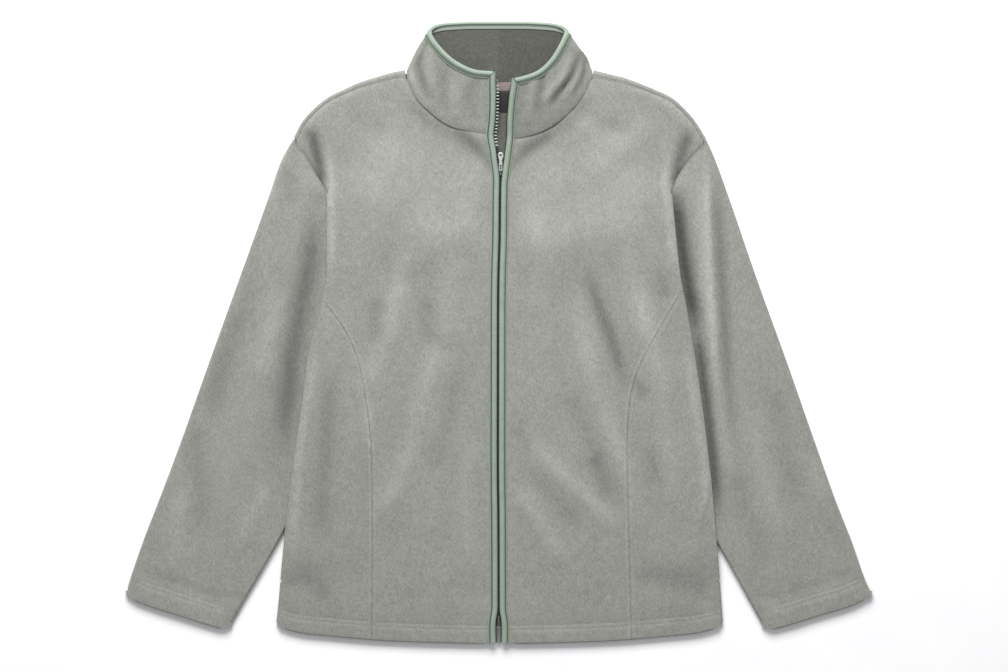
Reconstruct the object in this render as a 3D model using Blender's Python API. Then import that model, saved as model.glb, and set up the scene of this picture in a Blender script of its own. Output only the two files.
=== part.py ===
"""Fleece zip jacket, laid flat on its back with its zip a little open at the collar.

Frame: metres, +Z up from the surface it lies on, +Y from hem to collar, +X towards the
wearer's left. The origin is under the middle of the jacket. Tables and sizes are in
millimetres. "right" and "left" are the wearer's, so the right side is at -X.

Each piece that is cut and sewn is a sheet, drawn as its middle surface and given its
thickness by Solidify. At each side the body folds in under itself down to the underarm,
and the sleeve lies inside that fold: from the table up, the back, the back's return,
the sleeve's back and front, the front's return and the front.
"""

import math

import bmesh
import bpy
import numpy as np
from mathutils.geometry import delaunay_2d_cdt

MM = 0.001
SIDES = {"right": -1, "left": 1}

# Thicknesses and gaps
CLOTH = 1.8
SEAM_GAP = 0.3
SIDE_SEAM_GAP = 0.5
TAPE = 0.8
BINDING = 0.8
NECK_TAPE = 0.7
LABEL = 0.5

# Heights of the middle of each layer where all six lie on each other
BACK = CLOTH / 2
RETURN_RADIUS = 1.2
LAYER = 2.2
BACK_RETURN = BACK + 2 * RETURN_RADIUS
SLEEVE_BACK_RAISED = BACK_RETURN + LAYER
SLEEVE_FRONT_RAISED = SLEEVE_BACK_RAISED + LAYER
FRONT_RETURN = SLEEVE_FRONT_RAISED + LAYER
FRONT_RAISED = FRONT_RETURN + 2 * RETURN_RADIUS

# Spacing of the facets
STEP = 36.0
FINE_STEP = 22.0
TRIM_STEP = 30.0
FLAT_STEP = 90.0
HALF_TURN_FACETS = 4
QUARTER_STRAIGHT = 0.15

HEM_TURN = 23.0
CUFF_TURN = 27.0
HEM_RADIUS = 1.05
HEM_CORNER = 9.0
BINDING_HEM_CLEAR = 17.0
CUFF_CORNER = 10.0

# Height of the front's middle along the zip and at the side, by y
CENTRE_LEVEL = [
    (380, 9.0), (235, 8.5), (190, 8.0), (120, 6.0), (-310, 6.0), (-345, 7.3), (-390, 7.3)]
SIDE_LEVEL = [
    (380, 8.0), (300, 7.5), (250, 6.4), (205, 6.2), (150, FRONT_RAISED),
    (-262, FRONT_RAISED), (-305, 8.8), (-352, 7.3), (-390, 7.3)]
SLEEVE_LEVEL = [(260, 6.2), (205, 6.2), (0, 6.5), (-290, 7.6), (-390, 7.6)]
TUCK_RISE = [(260, 0.0), (205, 0.0), (150, 1.0), (-390, 1.0)]
SLEEVE_DROP = (20.0, 62.0)
FRONT_DROP = (12.0, 90.0)

# Distance from the middle of the body: y, right, left
SIDE_FOLD = [
    (172, 206, 205), (120, 206, 210), (62, 207, 216.5), (35, 211.5, 222),
    (-29, 228, 233), (-89, 236, 242), (-158, 246, 250.5), (-214, 253, 256),
    (-268, 258.5, 260.5), (-330, 264.5, 265.5), (-352, 267, 267)]
ARMHOLE_HIDDEN = [
    (172, 206, 205), (150, 202.5, 201.5), (110, 197, 196), (60, 187, 187),
    (15, 175, 175), (-19, 165, 165)]
SIDE_SEAM_HIDDEN = [
    (-19, 165, 165), (-28, 153, 153), (-89, 176, 176), (-158, 205, 205),
    (-230, 233, 235), (-298, 249, 250)]
TUCK_TOP = 150
TUCK_BOTTOM = -298
CLOSED_SIDE_TOP = -308

# Edges of the zip's two rims that face each other: y, right, left
ZIP_RIMS = [
    (-373, -4.4, 2.4), (-347, -4.4, 2.4), (-334, -2.4, 0.4), (-318, -2.2, 0.2),
    (-214, -2.5, -0.1), (-178, -3.0, -0.6), (-70, -3.0, -0.6), (62, -2.5, -0.1),
    (110, -1.1, 1.3), (158, -0.6, 1.8), (178, -0.2, 2.2), (187, -0.4, 3.2),
    (206, -3.0, 5.6), (218, -4.4, 7.2), (235, -7.0, 9.0), (250, -5.4, 9.2),
    (278, -4.3, 11.4), (300, -4.5, 14.5), (311, -4.6, 15.0)]
RIM_TO_CLOTH = 2.2

# Outlines, x outwards from the middle
ARMHOLE = {
    "right": [(246, 228.5), (232, 210), (219, 188), (206, 170)],
    "left": [(247, 227.5), (229, 209), (212, 185), (205, 169)]}
SHOULDER_FOLD = {
    "right": [(113.4, 313), (129, 310), (148, 304.5), (167, 298.5), (186, 290), (206, 280),
              (225, 264), (236, 251), (246, 232)],
    "left": [(112.8, 313), (130, 308.5), (149, 304), (168, 297), (188, 289), (207, 279.5),
             (225, 263), (236, 249), (247, 231)]}
SHOULDER_SEAM_INSET = (9.5, 3.6)
SHOULDER_SEAM_FLAT = 0.4
NECK_SEAM = {
    "right": [(9, 235), (33.5, 240), (56, 245), (70, 252.5), (86, 265.5), (102.5, 283),
              (111.5, 303)],
    "left": [(11, 231.5), (20.5, 231.5), (48.5, 239), (69, 250.5), (90.5, 270), (105, 291),
             (110.5, 303)]}
PRINCESS_SEAM = {
    "right": [(153, -369), (152.5, -186), (154, -131), (159.5, -80), (170, -29), (186, 5),
              (210, 38)],
    "left": [(158, -368), (154, -214), (152.5, -131), (156.5, -76), (164, -48), (175, -23),
             (192, 7), (217.5, 50)]}
BACK_NECK = [(111.5, 312.5), (95, 310), (50, 301), (0, 298)]
HEM = [(0, -373), (74, -371.5), (139, -369), (204, -363.5), (240, -359.5), (267, -352)]
SLEEVE_OUTER = {
    "right": [(246.5, 230.5), (260, 206.5), (277, 158), (311.5, 62), (346, -33.5),
              (380, -129.5), (407, -201.5), (425.5, -249.5), (442, -297.5), (446.5, -315)],
    "left": [(247.5, 229.5), (257.5, 206.5), (275, 158), (308, 62), (342.5, -33.5),
             (376, -129.5), (401.5, -201.5), (420.5, -249.5), (437.5, -297.5), (446, -315)]}
SLEEVE_INNER = {
    "right": [(165, -19), (210, -135), (257, -233), (279, -273.5), (306.5, -321.5), (323.5, -352)],
    "left": [(165, -19), (205, -135), (261, -250), (274, -273.5), (300.5, -321.5), (317, -352)]}
CUFF = {
    "right": [(323.5, -352), (330, -355), (343, -352), (381, -340), (419, -328), (438, -320.5),
              (446.5, -315)],
    "left": [(317, -352), (323, -355.5), (341, -352), (380, -340), (418, -328.5), (437, -320),
             (446, -315)]}

# The collar's top edge, by share of the way round: 0 at the zip, 1 at the neck point,
# 2 where it has turned to the back, 3 at the middle of the back
COLLAR_TOP = {
    "right": [(0, 6.6, 308.5, 20), (0.27, 31, 311, 20), (0.48, 54.5, 322.5, 19.5),
              (0.74, 72, 339, 17.5), (0.92, 81, 352, 14), (1.2, 83, 358.5, 10.5),
              (1.6, 80, 363.5, 6.7), (2.0, 72, 367, 3.8), (2.4, 45, 369.5, 2.7),
              (3.0, 0, 370, 2.5)],
    "left": [(0, 17, 300.5, 20), (0.12, 27, 302.5, 20), (0.38, 47, 310, 19.8),
             (0.6, 62, 324, 19), (0.8, 73.5, 343, 16), (0.95, 78, 353, 13),
             (1.2, 79.5, 358.5, 10.2), (1.6, 76.5, 363.5, 6.7), (2.0, 68, 367, 3.8),
             (2.4, 42, 369.5, 2.4), (3.0, 0, 370, 2.5)]}
# Its foot where it turns from front to back outside the shoulder wrap's end
COLLAR_TURN = [
    (110.2, 304.5, 1.0), (110.4, 309.5, 0.8), (110.0, 313.0, 0.47), (107.5, 314.6, 0.14),
    (102.0, 313.2, 0.0)]
TURN_STEP = 3.0
COLLAR_BULGE = 2.5

BINDING_EASE = 0.5
BINDING_MIDDLE = CLOTH / 2 + BINDING_EASE + BINDING / 2
BINDING_WIDTH = 9.5
BINDING_UNDER = 7.0
COLLAR_BINDING_WIDTH = 8.5
TAPE_MIDDLE = BINDING_MIDDLE + BINDING / 2 + SEAM_GAP + TAPE / 2
TAPE_BEYOND_RIM = 0.9
TAPE_WIDTH = 14.0
TAPE_SHORT = 6.0
MITRE_GAP = 2.2
TAPE_BOTTOM = -351
OUTWARDS = np.array([-1.0, 0.0, 0.0])

# The slider, open end towards the hem, its arch and the pull tab hung in it
SLIDER_Y = 187.5
SLIDER_LENGTH = 11.0
SLIDER_X = 1.4
TAPE_SPACE = 1.1
PLATE = 1.1
SLIDER_MOUTH = 3.0
SLIDER_SHOULDER = 5.6
SLIDER_NOSE = 2.0
LOWER_PLATE = 7.6
BRIDGE = (2.0, 2.2)
HINGE_Y = 193.5
ARCH = (1.2, 9.2)
ARCH_RISE = 3.1
ARCH_THICK = 0.9
ARCH_FOOT = 1.0
CROSSBAR_RADIUS = 0.6
HINGE_CLEAR = 0.4
PULL_THICK = 1.2
PULL_WINDOW = (2.0, 6.0)
PULL_WIDTHS = [(-0.6, 2.0), (7.0, 2.0), (12.0, 1.7), (17.0, 3.1), (19.8, 2.9), (21.4, 1.5)]
PULL_EYE = (18.0, 1.5)
EYE_SIDES = 12

# The retainer box, the pin and the top stops: width, length, thickness
BOX_SIZE = (5.0, 18.0, 3.4)
BOX_BEVEL = 0.4
BOX_ABOVE_HEM = 2.0
BOX_Y = -360
PIN = (1.6, 13.0)
PIN_SIDES = 10
STOP_SIZE = (2.2, 2.6, 1.6)
STOP_BELOW_TAPE_END = 1.5

NECK_TAPE_REACH = (1.0, -9.0)
LABEL_PLACE = (1.0, 287.5)
LABEL_SIZE = (38.0, 24.0)

COLOURS = {
    "fleece": (0.32, 0.33, 0.31, 1), "binding": (0.40, 0.49, 0.41, 1),
    "tape": (0.20, 0.22, 0.20, 1), "metal": (0.55, 0.56, 0.56, 1),
    "slider": (0.10, 0.12, 0.15, 1), "neck_tape": (0.36, 0.33, 0.32, 1),
    "label": (0.03, 0.03, 0.03, 1)}
METALLIC = {"metal": 1.0, "slider": 0.8}


def smooth(t):
    """0 to 1 with level ends."""
    t = np.clip(t, 0.0, 1.0)
    return t * t * (3 - 2 * t)


def level(rows, y):
    """The value at y in rows of (y, value), eased from row to row."""
    rows = sorted(rows)
    for (y0, v0), (y1, v1) in zip(rows, rows[1:]):
        if y <= y1:
            return v0 + (v1 - v0) * smooth((y - y0) / (y1 - y0))
    return rows[-1][1]


def path(points, step):
    """A smooth path through the points (centripetal Catmull-Rom), read about every step."""
    known = np.array(points, float)
    ends = np.vstack([2 * known[0] - known[1], known, 2 * known[-1] - known[-2]])
    dense = [known[0]]
    for i in range(len(known) - 1):
        p = ends[i:i + 4]
        knots = np.concatenate([[0], np.cumsum(np.sqrt(np.linalg.norm(np.diff(p, axis=0), axis=1)))])
        for t in np.linspace(knots[1], knots[2], 13)[1:]:
            a = [((knots[k + 1] - t) * p[k] + (t - knots[k]) * p[k + 1])
                 / (knots[k + 1] - knots[k]) for k in range(3)]
            b = [((knots[k + 2] - t) * a[k] + (t - knots[k]) * a[k + 1])
                 / (knots[k + 2] - knots[k]) for k in range(2)]
            dense.append(((knots[2] - t) * b[0] + (t - knots[1]) * b[1]) / (knots[2] - knots[1]))
    dense = np.array(dense)
    along = np.concatenate([[0], np.cumsum(np.linalg.norm(np.diff(dense, axis=0), axis=1))])
    wanted = np.linspace(0, along[-1], max(2, round(along[-1] / step) + 1))
    return np.column_stack([np.interp(wanted, along, dense[:, k]) for k in range(dense.shape[1])])


def across(line):
    """Unit vectors to the right of a flat line's direction."""
    way = np.gradient(line[:, :2], axis=0)
    way /= np.linalg.norm(way, axis=1)[:, None]
    return np.column_stack([way[:, 1], -way[:, 0]])


def column(rows, side):
    """One side's (y, value) rows of a table of (y, right, left)."""
    pick = 1 if side == "right" else 2
    return [(row[0], row[pick]) for row in rows]


def smooth_table(rows, side):
    """A function of y that runs smoothly through one side's column."""
    line = path([(value, y) for y, value in sorted(column(rows, side))], 2.0)
    return lambda y: float(np.interp(y, line[:, 1], line[:, 0]))


side_fold = {side: smooth_table(SIDE_FOLD, side) for side in SIDES}
armhole_hidden = {side: smooth_table(ARMHOLE_HIDDEN, side) for side in SIDES}
side_seam_hidden = {side: smooth_table(SIDE_SEAM_HIDDEN, side) for side in SIDES}
rim_face = {side: smooth_table(ZIP_RIMS, side) for side in SIDES}
UNDERARM_Y = ARMHOLE_HIDDEN[-1][0]


def tuck_reach(side, y):
    """How far inside the side fold the hidden return reaches."""
    inner = armhole_hidden[side](y) if y > UNDERARM_Y else side_seam_hidden[side](y)
    return max(0.0, side_fold[side](y) - inner)


def front_height(side, x, y):
    """Height of the front's middle, x outwards from the middle."""
    inside = side_fold[side](y) - x - tuck_reach(side, y)
    start, run = FRONT_DROP
    raised = 1 - smooth((inside - start) / run)
    centre = level(CENTRE_LEVEL, y)
    return centre + (level(SIDE_LEVEL, y) - centre) * raised


def sleeve_rise(side, x, y):
    """1 where the sleeve lies inside the body's fold, falling to 0 beside it."""
    outside = x - side_fold[side](y)
    start, end = SLEEVE_DROP
    return level(TUCK_RISE, y) * (1 - smooth((outside - start) / (end - start)))


def sleeve_front_height(side, x, y):
    lying = level(SLEEVE_LEVEL, y)
    return lying + (SLEEVE_FRONT_RAISED - lying) * sleeve_rise(side, x, y)


def sleeve_back_height(side, x, y):
    return BACK + (SLEEVE_BACK_RAISED - BACK) * sleeve_rise(side, x, y)


class Sheet:
    """A middle surface: points and the faces between them. x is outwards until mirrored."""

    def __init__(self):
        self.points = []
        self.faces = []

    def fill(self, outline, height, step):
        """Fills a closed outline (x, y) with even triangles; gives the outline's point numbers."""
        outline = np.array(outline, float)
        low, high = outline.min(axis=0), outline.max(axis=0)
        rows = []
        for number, y in enumerate(np.arange(low[1], high[1], step * math.sqrt(3) / 2)):
            shift = step / 2 * (number % 2)
            rows += [(x, y) for x in np.arange(low[0] + shift, high[0], step)]
        inner = np.array(rows)
        a, b = outline, np.roll(outline, -1, axis=0)
        crossings = ((a[None, :, 1] > inner[:, 1, None]) != (b[None, :, 1] > inner[:, 1, None]))
        rise = np.where(b[:, 1] == a[:, 1], 1e-9, b[:, 1] - a[:, 1])
        meet = a[None, :, 0] + (inner[:, 1, None] - a[None, :, 1]) * (b - a)[None, :, 0] / rise
        inside = (crossings & (inner[:, 0, None] < meet)).sum(axis=1) % 2 == 1
        near = np.linalg.norm(inner[:, None] - outline[None], axis=2).min(axis=1)
        inner = inner[inside & (near > 0.55 * step)]
        count = len(outline)
        loop = list(range(count))
        found = delaunay_2d_cdt(
            [tuple(p) for p in np.vstack([outline, inner])], [], [loop], 1, 1e-5)
        first = len(self.points)
        self.points += [(p[0], p[1], height(p[0], p[1])) for p in found[0]]
        self.faces += [tuple(first + i for i in face) for face in found[2]]
        where = {source: first + new for new, olds in enumerate(found[3]) for source in olds}
        return [where[i] for i in loop]

    def strip(self, edge, profiles):
        """Sews a strip to a row of edge points: each has a profile, a list of points."""
        previous = list(edge)
        for k in range(len(profiles[0])):
            row = []
            for profile in profiles:
                row.append(len(self.points))
                self.points.append(tuple(profile[k]))
            for i in range(len(row) - 1):
                self.faces.append((previous[i], previous[i + 1], row[i + 1], row[i]))
            previous = row
        return previous

    def bridge(self, one, two, between):
        """Joins two edges of like length by a rounded row of points."""
        profiles = [between(self.points[i], self.points[j]) for i, j in zip(one, two)]
        last = self.strip(one, profiles)
        for i in range(len(one) - 1):
            self.faces.append((last[i], last[i + 1], two[i + 1], two[i]))


def turned(p, out, radius, up, flat, height=None):
    """The profile of a turned edge: half round outwards from p, up or down, then flat back in."""
    x, y, z = p
    points = []
    for k in range(1, HALF_TURN_FACETS + 1):
        angle = math.pi * k / HALF_TURN_FACETS
        side = radius * math.sin(angle)
        lift = up * radius * (1 - math.cos(angle))
        points.append((x + out[0] * side, y + out[1] * side, z + lift))
    back_x, back_y = x - out[0] * flat, y - out[1] * flat
    base = height(back_x, back_y) if height else z
    return points + [(back_x, back_y, base + up * 2 * radius)]


def quarter(p, out, radius, up):
    """The profile of a quarter round from p, outwards and up or down, with a straight end."""
    x, y, z = p
    bend = radius * (1 - QUARTER_STRAIGHT)
    points = [(x + out[0] * bend * math.sin(a), y + out[1] * bend * math.sin(a),
               z + up * bend * (1 - math.cos(a))) for a in (math.pi / 4, math.pi / 2)]
    return points + [(points[-1][0], points[-1][1], z + up * radius)]


def object_from(name, points, faces, mirror, material, thickness=None):
    """An object in metres; a sheet with a thickness is solidified about its middle."""
    mesh = bpy.data.meshes.new(name)
    mesh.from_pydata([(x * mirror * MM, y * MM, z * MM) for x, y, z in points], [], faces)
    form = bmesh.new()
    form.from_mesh(mesh)
    bmesh.ops.recalc_face_normals(form, faces=form.faces)
    form.to_mesh(mesh)
    form.free()
    piece = bpy.data.objects.new(name, mesh)
    bpy.context.scene.collection.objects.link(piece)
    mesh.materials.append(finish_of(material))
    if thickness:
        solid = piece.modifiers.new("Thickness", "SOLIDIFY")
        solid.thickness = thickness * MM
        solid.offset = 0.0
        solid.use_even_offset = True
    return piece


def finish_of(name):
    """The material of this name, made once."""
    material = bpy.data.materials.get(name)
    if material is None:
        material = bpy.data.materials.new(name)
        material.use_nodes = True
        shader = material.node_tree.nodes["Principled BSDF"]
        shader.inputs["Base Color"].default_value = COLOURS[name]
        shader.inputs["Roughness"].default_value = 0.35 if name in METALLIC else 0.9
        shader.inputs["Metallic"].default_value = METALLIC.get(name, 0.0)
    return material


def inset_line(line, amount):
    """The line moved to the left of its direction; amount is a number or one for each point."""
    move = np.broadcast_to(np.asarray(amount, float), (len(line),))
    return line - across(line) * move[:, None]


def fold_line(side, top, bottom):
    """The side fold from top to bottom, as (x, y) points."""
    return path([(side_fold[side](y), y) for y in np.linspace(top, bottom, 25)], FINE_STEP)


def closed_radius(side, y):
    """Radius of the round side below the tuck, where front and back meet at the edge."""
    return (level(SIDE_LEVEL, y) - BACK) / 2 - SEAM_GAP / 2


def fold_inset(side, y):
    """How far inside the fold the flat of the panel ends."""
    wide = closed_radius(side, y)
    return RETURN_RADIUS + (wide - RETURN_RADIUS) * smooth((TUCK_BOTTOM - y) / 12)


def side_profiles(side, edge_points, up):
    """What hangs on the side edge: the hidden return, and below it the closed round side."""
    tucked = []
    closed = []
    for number, p in enumerate(edge_points):
        y = p[1]
        if TUCK_BOTTOM <= y <= TUCK_TOP:
            tucked.append((number, return_profile(side, p, up)))
        elif y <= CLOSED_SIDE_TOP:
            closed.append((number, quarter(p, (1, 0), closed_radius(side, y), up)))
    return tucked, closed


def return_profile(side, p, up):
    """The hidden return: round the fold, back in, then down to the sleeve or the side seam."""
    x, y, z = p
    seam = y <= SIDE_SEAM_HIDDEN[1][0]
    front = up < 0
    reach = tuck_reach(side, y) - RETURN_RADIUS
    over = (lambda qx, qy: front_height(side, qx, qy)) if front else (lambda qx, qy: BACK)
    other = BACK_RETURN if front else front_height(side, x, y) - 2 * RETURN_RADIUS
    own = z + up * 2 * RETURN_RADIUS
    tail = (abs(own - other) - SIDE_SEAM_GAP) / 2
    flat = reach - (tail if seam else 0.0)
    points = turned(p, (1, 0), RETURN_RADIUS, up, flat, over)
    qx, qy, qz = points[-1]
    if seam:
        points += quarter((qx, qy, qz), (-1, 0), tail, up)
    else:
        dip = LAYER - CLOTH - SEAM_GAP
        points += [(qx - SEAM_GAP * k, qy, qz + up * dip * k / 3) for k in (1, 2, 3)]
    return points


def runs(rows):
    """Splits (number, profile) rows where the numbers skip."""
    found = []
    for row in rows:
        if found and row[0] == found[-1][-1][0] + 1:
            found[-1].append(row)
        else:
            found.append([row])
    return [run for run in found if len(run) > 1]


def sew_side(sheet, side, numbers, up):
    """Adds the side returns to a panel along the edge points with these numbers."""
    for rows in side_profiles(side, [sheet.points[i] for i in numbers], up):
        for run in runs(rows):
            sheet.strip([numbers[number] for number, _ in run], [profile for _, profile in run])


def sew_hem(sheet, numbers, up, height):
    """Turns the hem under: up is +1 on the back and -1 on the fronts."""
    profiles = [turned(sheet.points[i], (0, -1), HEM_RADIUS, up, HEM_TURN, height)
                for i in numbers]
    sheet.strip(numbers, profiles)


def hem_line(x_from, x_to):
    """The hem between two distances from the middle, set in by its turn."""
    line = path(HEM, 2.0)
    wanted = np.linspace(x_from, x_to, max(3, round(abs(x_to - x_from) / STEP) + 1))
    return np.column_stack([wanted, np.interp(wanted, line[:, 0], line[:, 1]) + HEM_RADIUS])


def shoulder_seam(side):
    """The seam where the front meets the back's wrap, inside the shoulder's fold."""
    fold = path(SHOULDER_FOLD[side], FINE_STEP * 1.5)
    first, last = SHOULDER_SEAM_INSET
    share = np.linspace(0, 1, len(fold)) ** 0.5
    return fold + across(fold) * (first + (last - first) * share)[:, None]


def neck_line(side):
    """The neck seam from the zip to the neck point, which the front and the collar share."""
    return path(NECK_SEAM[side], FINE_STEP * 0.8)


def back_neck_line():
    return path(BACK_NECK, FINE_STEP)


def armhole_line(side):
    """The armhole seam that shows, from the shoulder down to the fold."""
    return path(ARMHOLE[side], FINE_STEP)


def cloth_edge(side, y):
    """Where the front's cloth ends inside its binding, outwards from the middle."""
    return SIDES[side] * rim_face[side](y) + RIM_TO_CLOTH


def princess_line(side, keep):
    """The princess seam from the hem up, to where it is this far from the side fold."""
    dense = path(PRINCESS_SEAM[side], 1.0)
    gap = np.array([side_fold[side](y) - RETURN_RADIUS - x for x, y in dense])
    return path(dense[gap > keep][::4], FINE_STEP)


def make_front(side):
    """The front between the zip and the princess seam, from hem to neck and shoulder."""
    princess = inset_line(princess_line(side, 0.8), SEAM_GAP / 2)
    fold = fold_line(side, princess[-1][1] + 2.0, ARMHOLE[side][-1][1])
    fold[:, 0] -= RETURN_RADIUS
    armhole = armhole_line(side)[::-1]
    shoulder = shoulder_seam(side)[::-1]
    neck = neck_line(side)[::-1]
    hem = hem_line(cloth_edge(side, HEM[0][1]), princess[0][0])
    low, high = hem[0][1], neck[-1][1]
    heights = np.linspace(high, low, round((high - low) / TRIM_STEP))[1:-1]
    centre = np.array([(cloth_edge(side, y), y) for y in heights])
    neck[-1][0] = cloth_edge(side, high)
    pieces = [hem, princess[1:], fold, armhole[1:-1], shoulder[:-1], neck, centre]
    return panel("front_" + side, side, pieces, hem_piece=0, fold_piece=2)


def make_side_front(side):
    """The panel between the princess seam and the side, with its return to the side seam."""
    princess = inset_line(princess_line(side, 2.2), -SEAM_GAP / 2)
    fold = fold_line(side, princess[-1][1] - 0.5, HEM[-1][1])[::-1]
    fold[:, 0] -= [fold_inset(side, y) for y in fold[:, 1]]
    hem = hem_line(princess[0][0], fold[0][0])
    fold[0] = hem[-1]
    pieces = [hem, fold[1:], princess[::-1][:-1]]
    return panel("side_front_" + side, side, pieces, hem_piece=0, fold_piece=1)


def panel(name, side, pieces, hem_piece, fold_piece):
    """Fills a front panel and sews on its hem and its side return."""
    sheet = Sheet()
    outline = np.vstack(pieces)
    numbers = sheet.fill(outline, lambda x, y: front_height(side, x, y), STEP)
    starts = np.cumsum([0] + [len(piece) for piece in pieces])
    hem = numbers[starts[hem_piece]:starts[hem_piece + 1]]
    hem = [i for i in hem if hem_has_turn(side, sheet.points[i][0])]
    sew_hem(sheet, hem, -1, lambda x, y: front_height(side, x, y))
    sew_side(sheet, side, numbers[starts[fold_piece]:starts[fold_piece + 1]], -1)
    return object_from(name, sheet.points, sheet.faces, SIDES[side], "fleece", CLOTH)


def hem_has_turn(side, x):
    """The turned hem stops short of the binding and of the round side."""
    return BINDING_HEM_CLEAR <= x <= HEM[-1][0] - HEM_CORNER


def make_back():
    """The back in one piece, with its wraps over the shoulders and its side returns."""
    sheet = Sheet()
    halves = {side: back_half(side) for side in SIDES}
    left = [(x, y) for x, y, _ in halves["left"]]
    right = [(-x, y) for x, y, _ in halves["right"]]
    outline = left + right[::-1]
    kinds = [kind for _, _, kind in halves["left"]] + [kind for _, _, kind in halves["right"]][::-1]
    numbers = sheet.fill(outline, lambda x, y: BACK, FLAT_STEP)
    for side, mirror in SIDES.items():
        for kind in ("fold", "shoulder", "hem"):
            chosen = [i for i, k in zip(numbers, kinds)
                      if k == kind and sheet.points[i][0] * mirror > 0]
            chosen.sort(key=lambda i: -sheet.points[i][1] if kind == "fold"
                        else sheet.points[i][0] * mirror)
            sew_back(sheet, side, mirror, kind, chosen)
    return object_from("back", sheet.points, sheet.faces, 1, "fleece", CLOTH)


def back_half(side):
    """One half of the back's outline, from the middle of the hem to the middle of the neck."""
    hem = hem_line(0.0, HEM[-1][0] - closed_radius(side, HEM[-1][1]))
    fold = fold_line(side, ARMHOLE[side][-1][1], HEM[-1][1])[::-1]
    fold[:, 0] -= [fold_inset(side, y) for y in fold[:, 1]]
    armhole = armhole_line(side)[::-1]
    shoulder = path(SHOULDER_FOLD[side], FINE_STEP * 1.5)
    radius = [(front_height(side, x, y) - BACK) / 2 for x, y in shoulder]
    shoulder = inset_line(shoulder, -np.array(radius))[::-1]
    neck = back_neck_line()
    rows = [(x, y, "hem") for x, y in hem]
    rows += [(x, y, "fold") for x, y in fold[1:]]
    rows += [(x, y, "armhole") for x, y in armhole[1:-1]]
    rows += [(x, y, "shoulder") for x, y in shoulder]
    rows += [(x, y, "neck") for x, y in neck[1:]]
    return rows[:-1] if side == "right" else rows


def sew_back(sheet, side, mirror, kind, numbers):
    """Adds one side's hem, side return or shoulder wrap to the back."""
    held = Sheet()
    held.points = [(x * mirror, y, z) for x, y, z in sheet.points]
    first = len(held.points)
    if kind == "fold":
        sew_side(held, side, numbers, 1)
    elif kind == "hem":
        numbers = [i for i in numbers if hem_has_turn(side, held.points[i][0])]
        sew_hem(held, numbers, 1, None)
    else:
        sew_shoulder(held, side, numbers)
    sheet.points += [(x * mirror, y, z) for x, y, z in held.points[first:]]
    sheet.faces += held.faces


def sew_shoulder(sheet, side, numbers):
    """Wraps the back over the shoulder on to the front, up to the shoulder seam."""
    line = np.array([sheet.points[i][:2] for i in numbers])
    out = -across(line)
    share = np.linspace(0, 1, len(numbers)) ** 0.5
    first, last = SHOULDER_SEAM_INSET
    inset = first + (last - first) * share
    profiles = []
    for i, way, depth in zip(numbers, out, inset):
        p = sheet.points[i]
        radius = (front_height(side, p[0], p[1]) - BACK) / 2
        flat = max(SHOULDER_SEAM_FLAT, depth - radius - SEAM_GAP)
        profiles.append(turned(p, way, radius, 1, flat))
    sheet.strip(numbers, profiles)


def make_sleeve(side):
    """The sleeve as a flattened tube from armhole to cuff, with its cuff turned in."""
    def radius(p):
        return (sleeve_front_height(side, *p) - sleeve_back_height(side, *p)) / 2
    hidden = path([(x, y) for y, x in column(ARMHOLE_HIDDEN, side)], FINE_STEP)
    armhole = inset_line(np.vstack([armhole_line(side), hidden[1:]]), SEAM_GAP)
    inner = path(SLEEVE_INNER[side], STEP)
    inner = inset_line(inner, [radius(p) for p in inner])
    cuff = path(CUFF[side], STEP)
    cuff = inset_line(cuff, HEM_RADIUS)
    outer = path(SLEEVE_OUTER[side], STEP)[::-1]
    outer = inset_line(outer, [radius(p) for p in outer])
    inner[-1], outer[0] = cuff[0], cuff[-1]
    pieces = [armhole[1:-1], inner, cuff[1:-1], outer]
    outline = np.vstack(pieces)
    starts = np.cumsum([0] + [len(piece) for piece in pieces])
    sheet = Sheet()
    top = sheet.fill(outline, lambda x, y: sleeve_front_height(side, x, y), STEP)
    flip = len(sheet.points)
    sheet.points += [(x, y, sleeve_back_height(side, x, y)) for x, y, _ in sheet.points]
    sheet.faces += [tuple(i + flip for i in face)[::-1] for face in sheet.faces]
    for piece, line in ((1, inner), (3, outer)):
        edge = top[starts[piece]:starts[piece + 1]]
        out = across(line)

        def rounded(p, q, out=iter(out)):
            way = next(out)
            r = (p[2] - q[2]) / 2
            return [(p[0] + way[0] * r * math.sin(a), p[1] + way[1] * r * math.sin(a),
                     p[2] - r * (1 - math.cos(a)))
                    for a in (math.pi * k / HALF_TURN_FACETS for k in range(1, HALF_TURN_FACETS))]
        sheet.bridge(edge, [i + flip for i in edge], rounded)
    hem = [i for i in top[starts[2] - 1:starts[3] + 1] if clear_of_ends(sheet.points[i], cuff)]
    sew_cuff(sheet, hem, -1, lambda x, y: sleeve_front_height(side, x, y))
    sew_cuff(sheet, [i + flip for i in hem], 1, lambda x, y: sleeve_back_height(side, x, y))
    return object_from("sleeve_" + side, sheet.points, sheet.faces, SIDES[side], "fleece", CLOTH)


def clear_of_ends(p, line):
    return min(math.dist(p[:2], line[0]), math.dist(p[:2], line[-1])) > CUFF_CORNER


def sew_cuff(sheet, numbers, up, height):
    line = np.array([sheet.points[i][:2] for i in numbers])
    out = across(line)
    profiles = [turned(sheet.points[i], way, HEM_RADIUS, up, CUFF_TURN, height)
                for i, way in zip(numbers, out)]
    sheet.strip(numbers, profiles)


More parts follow.
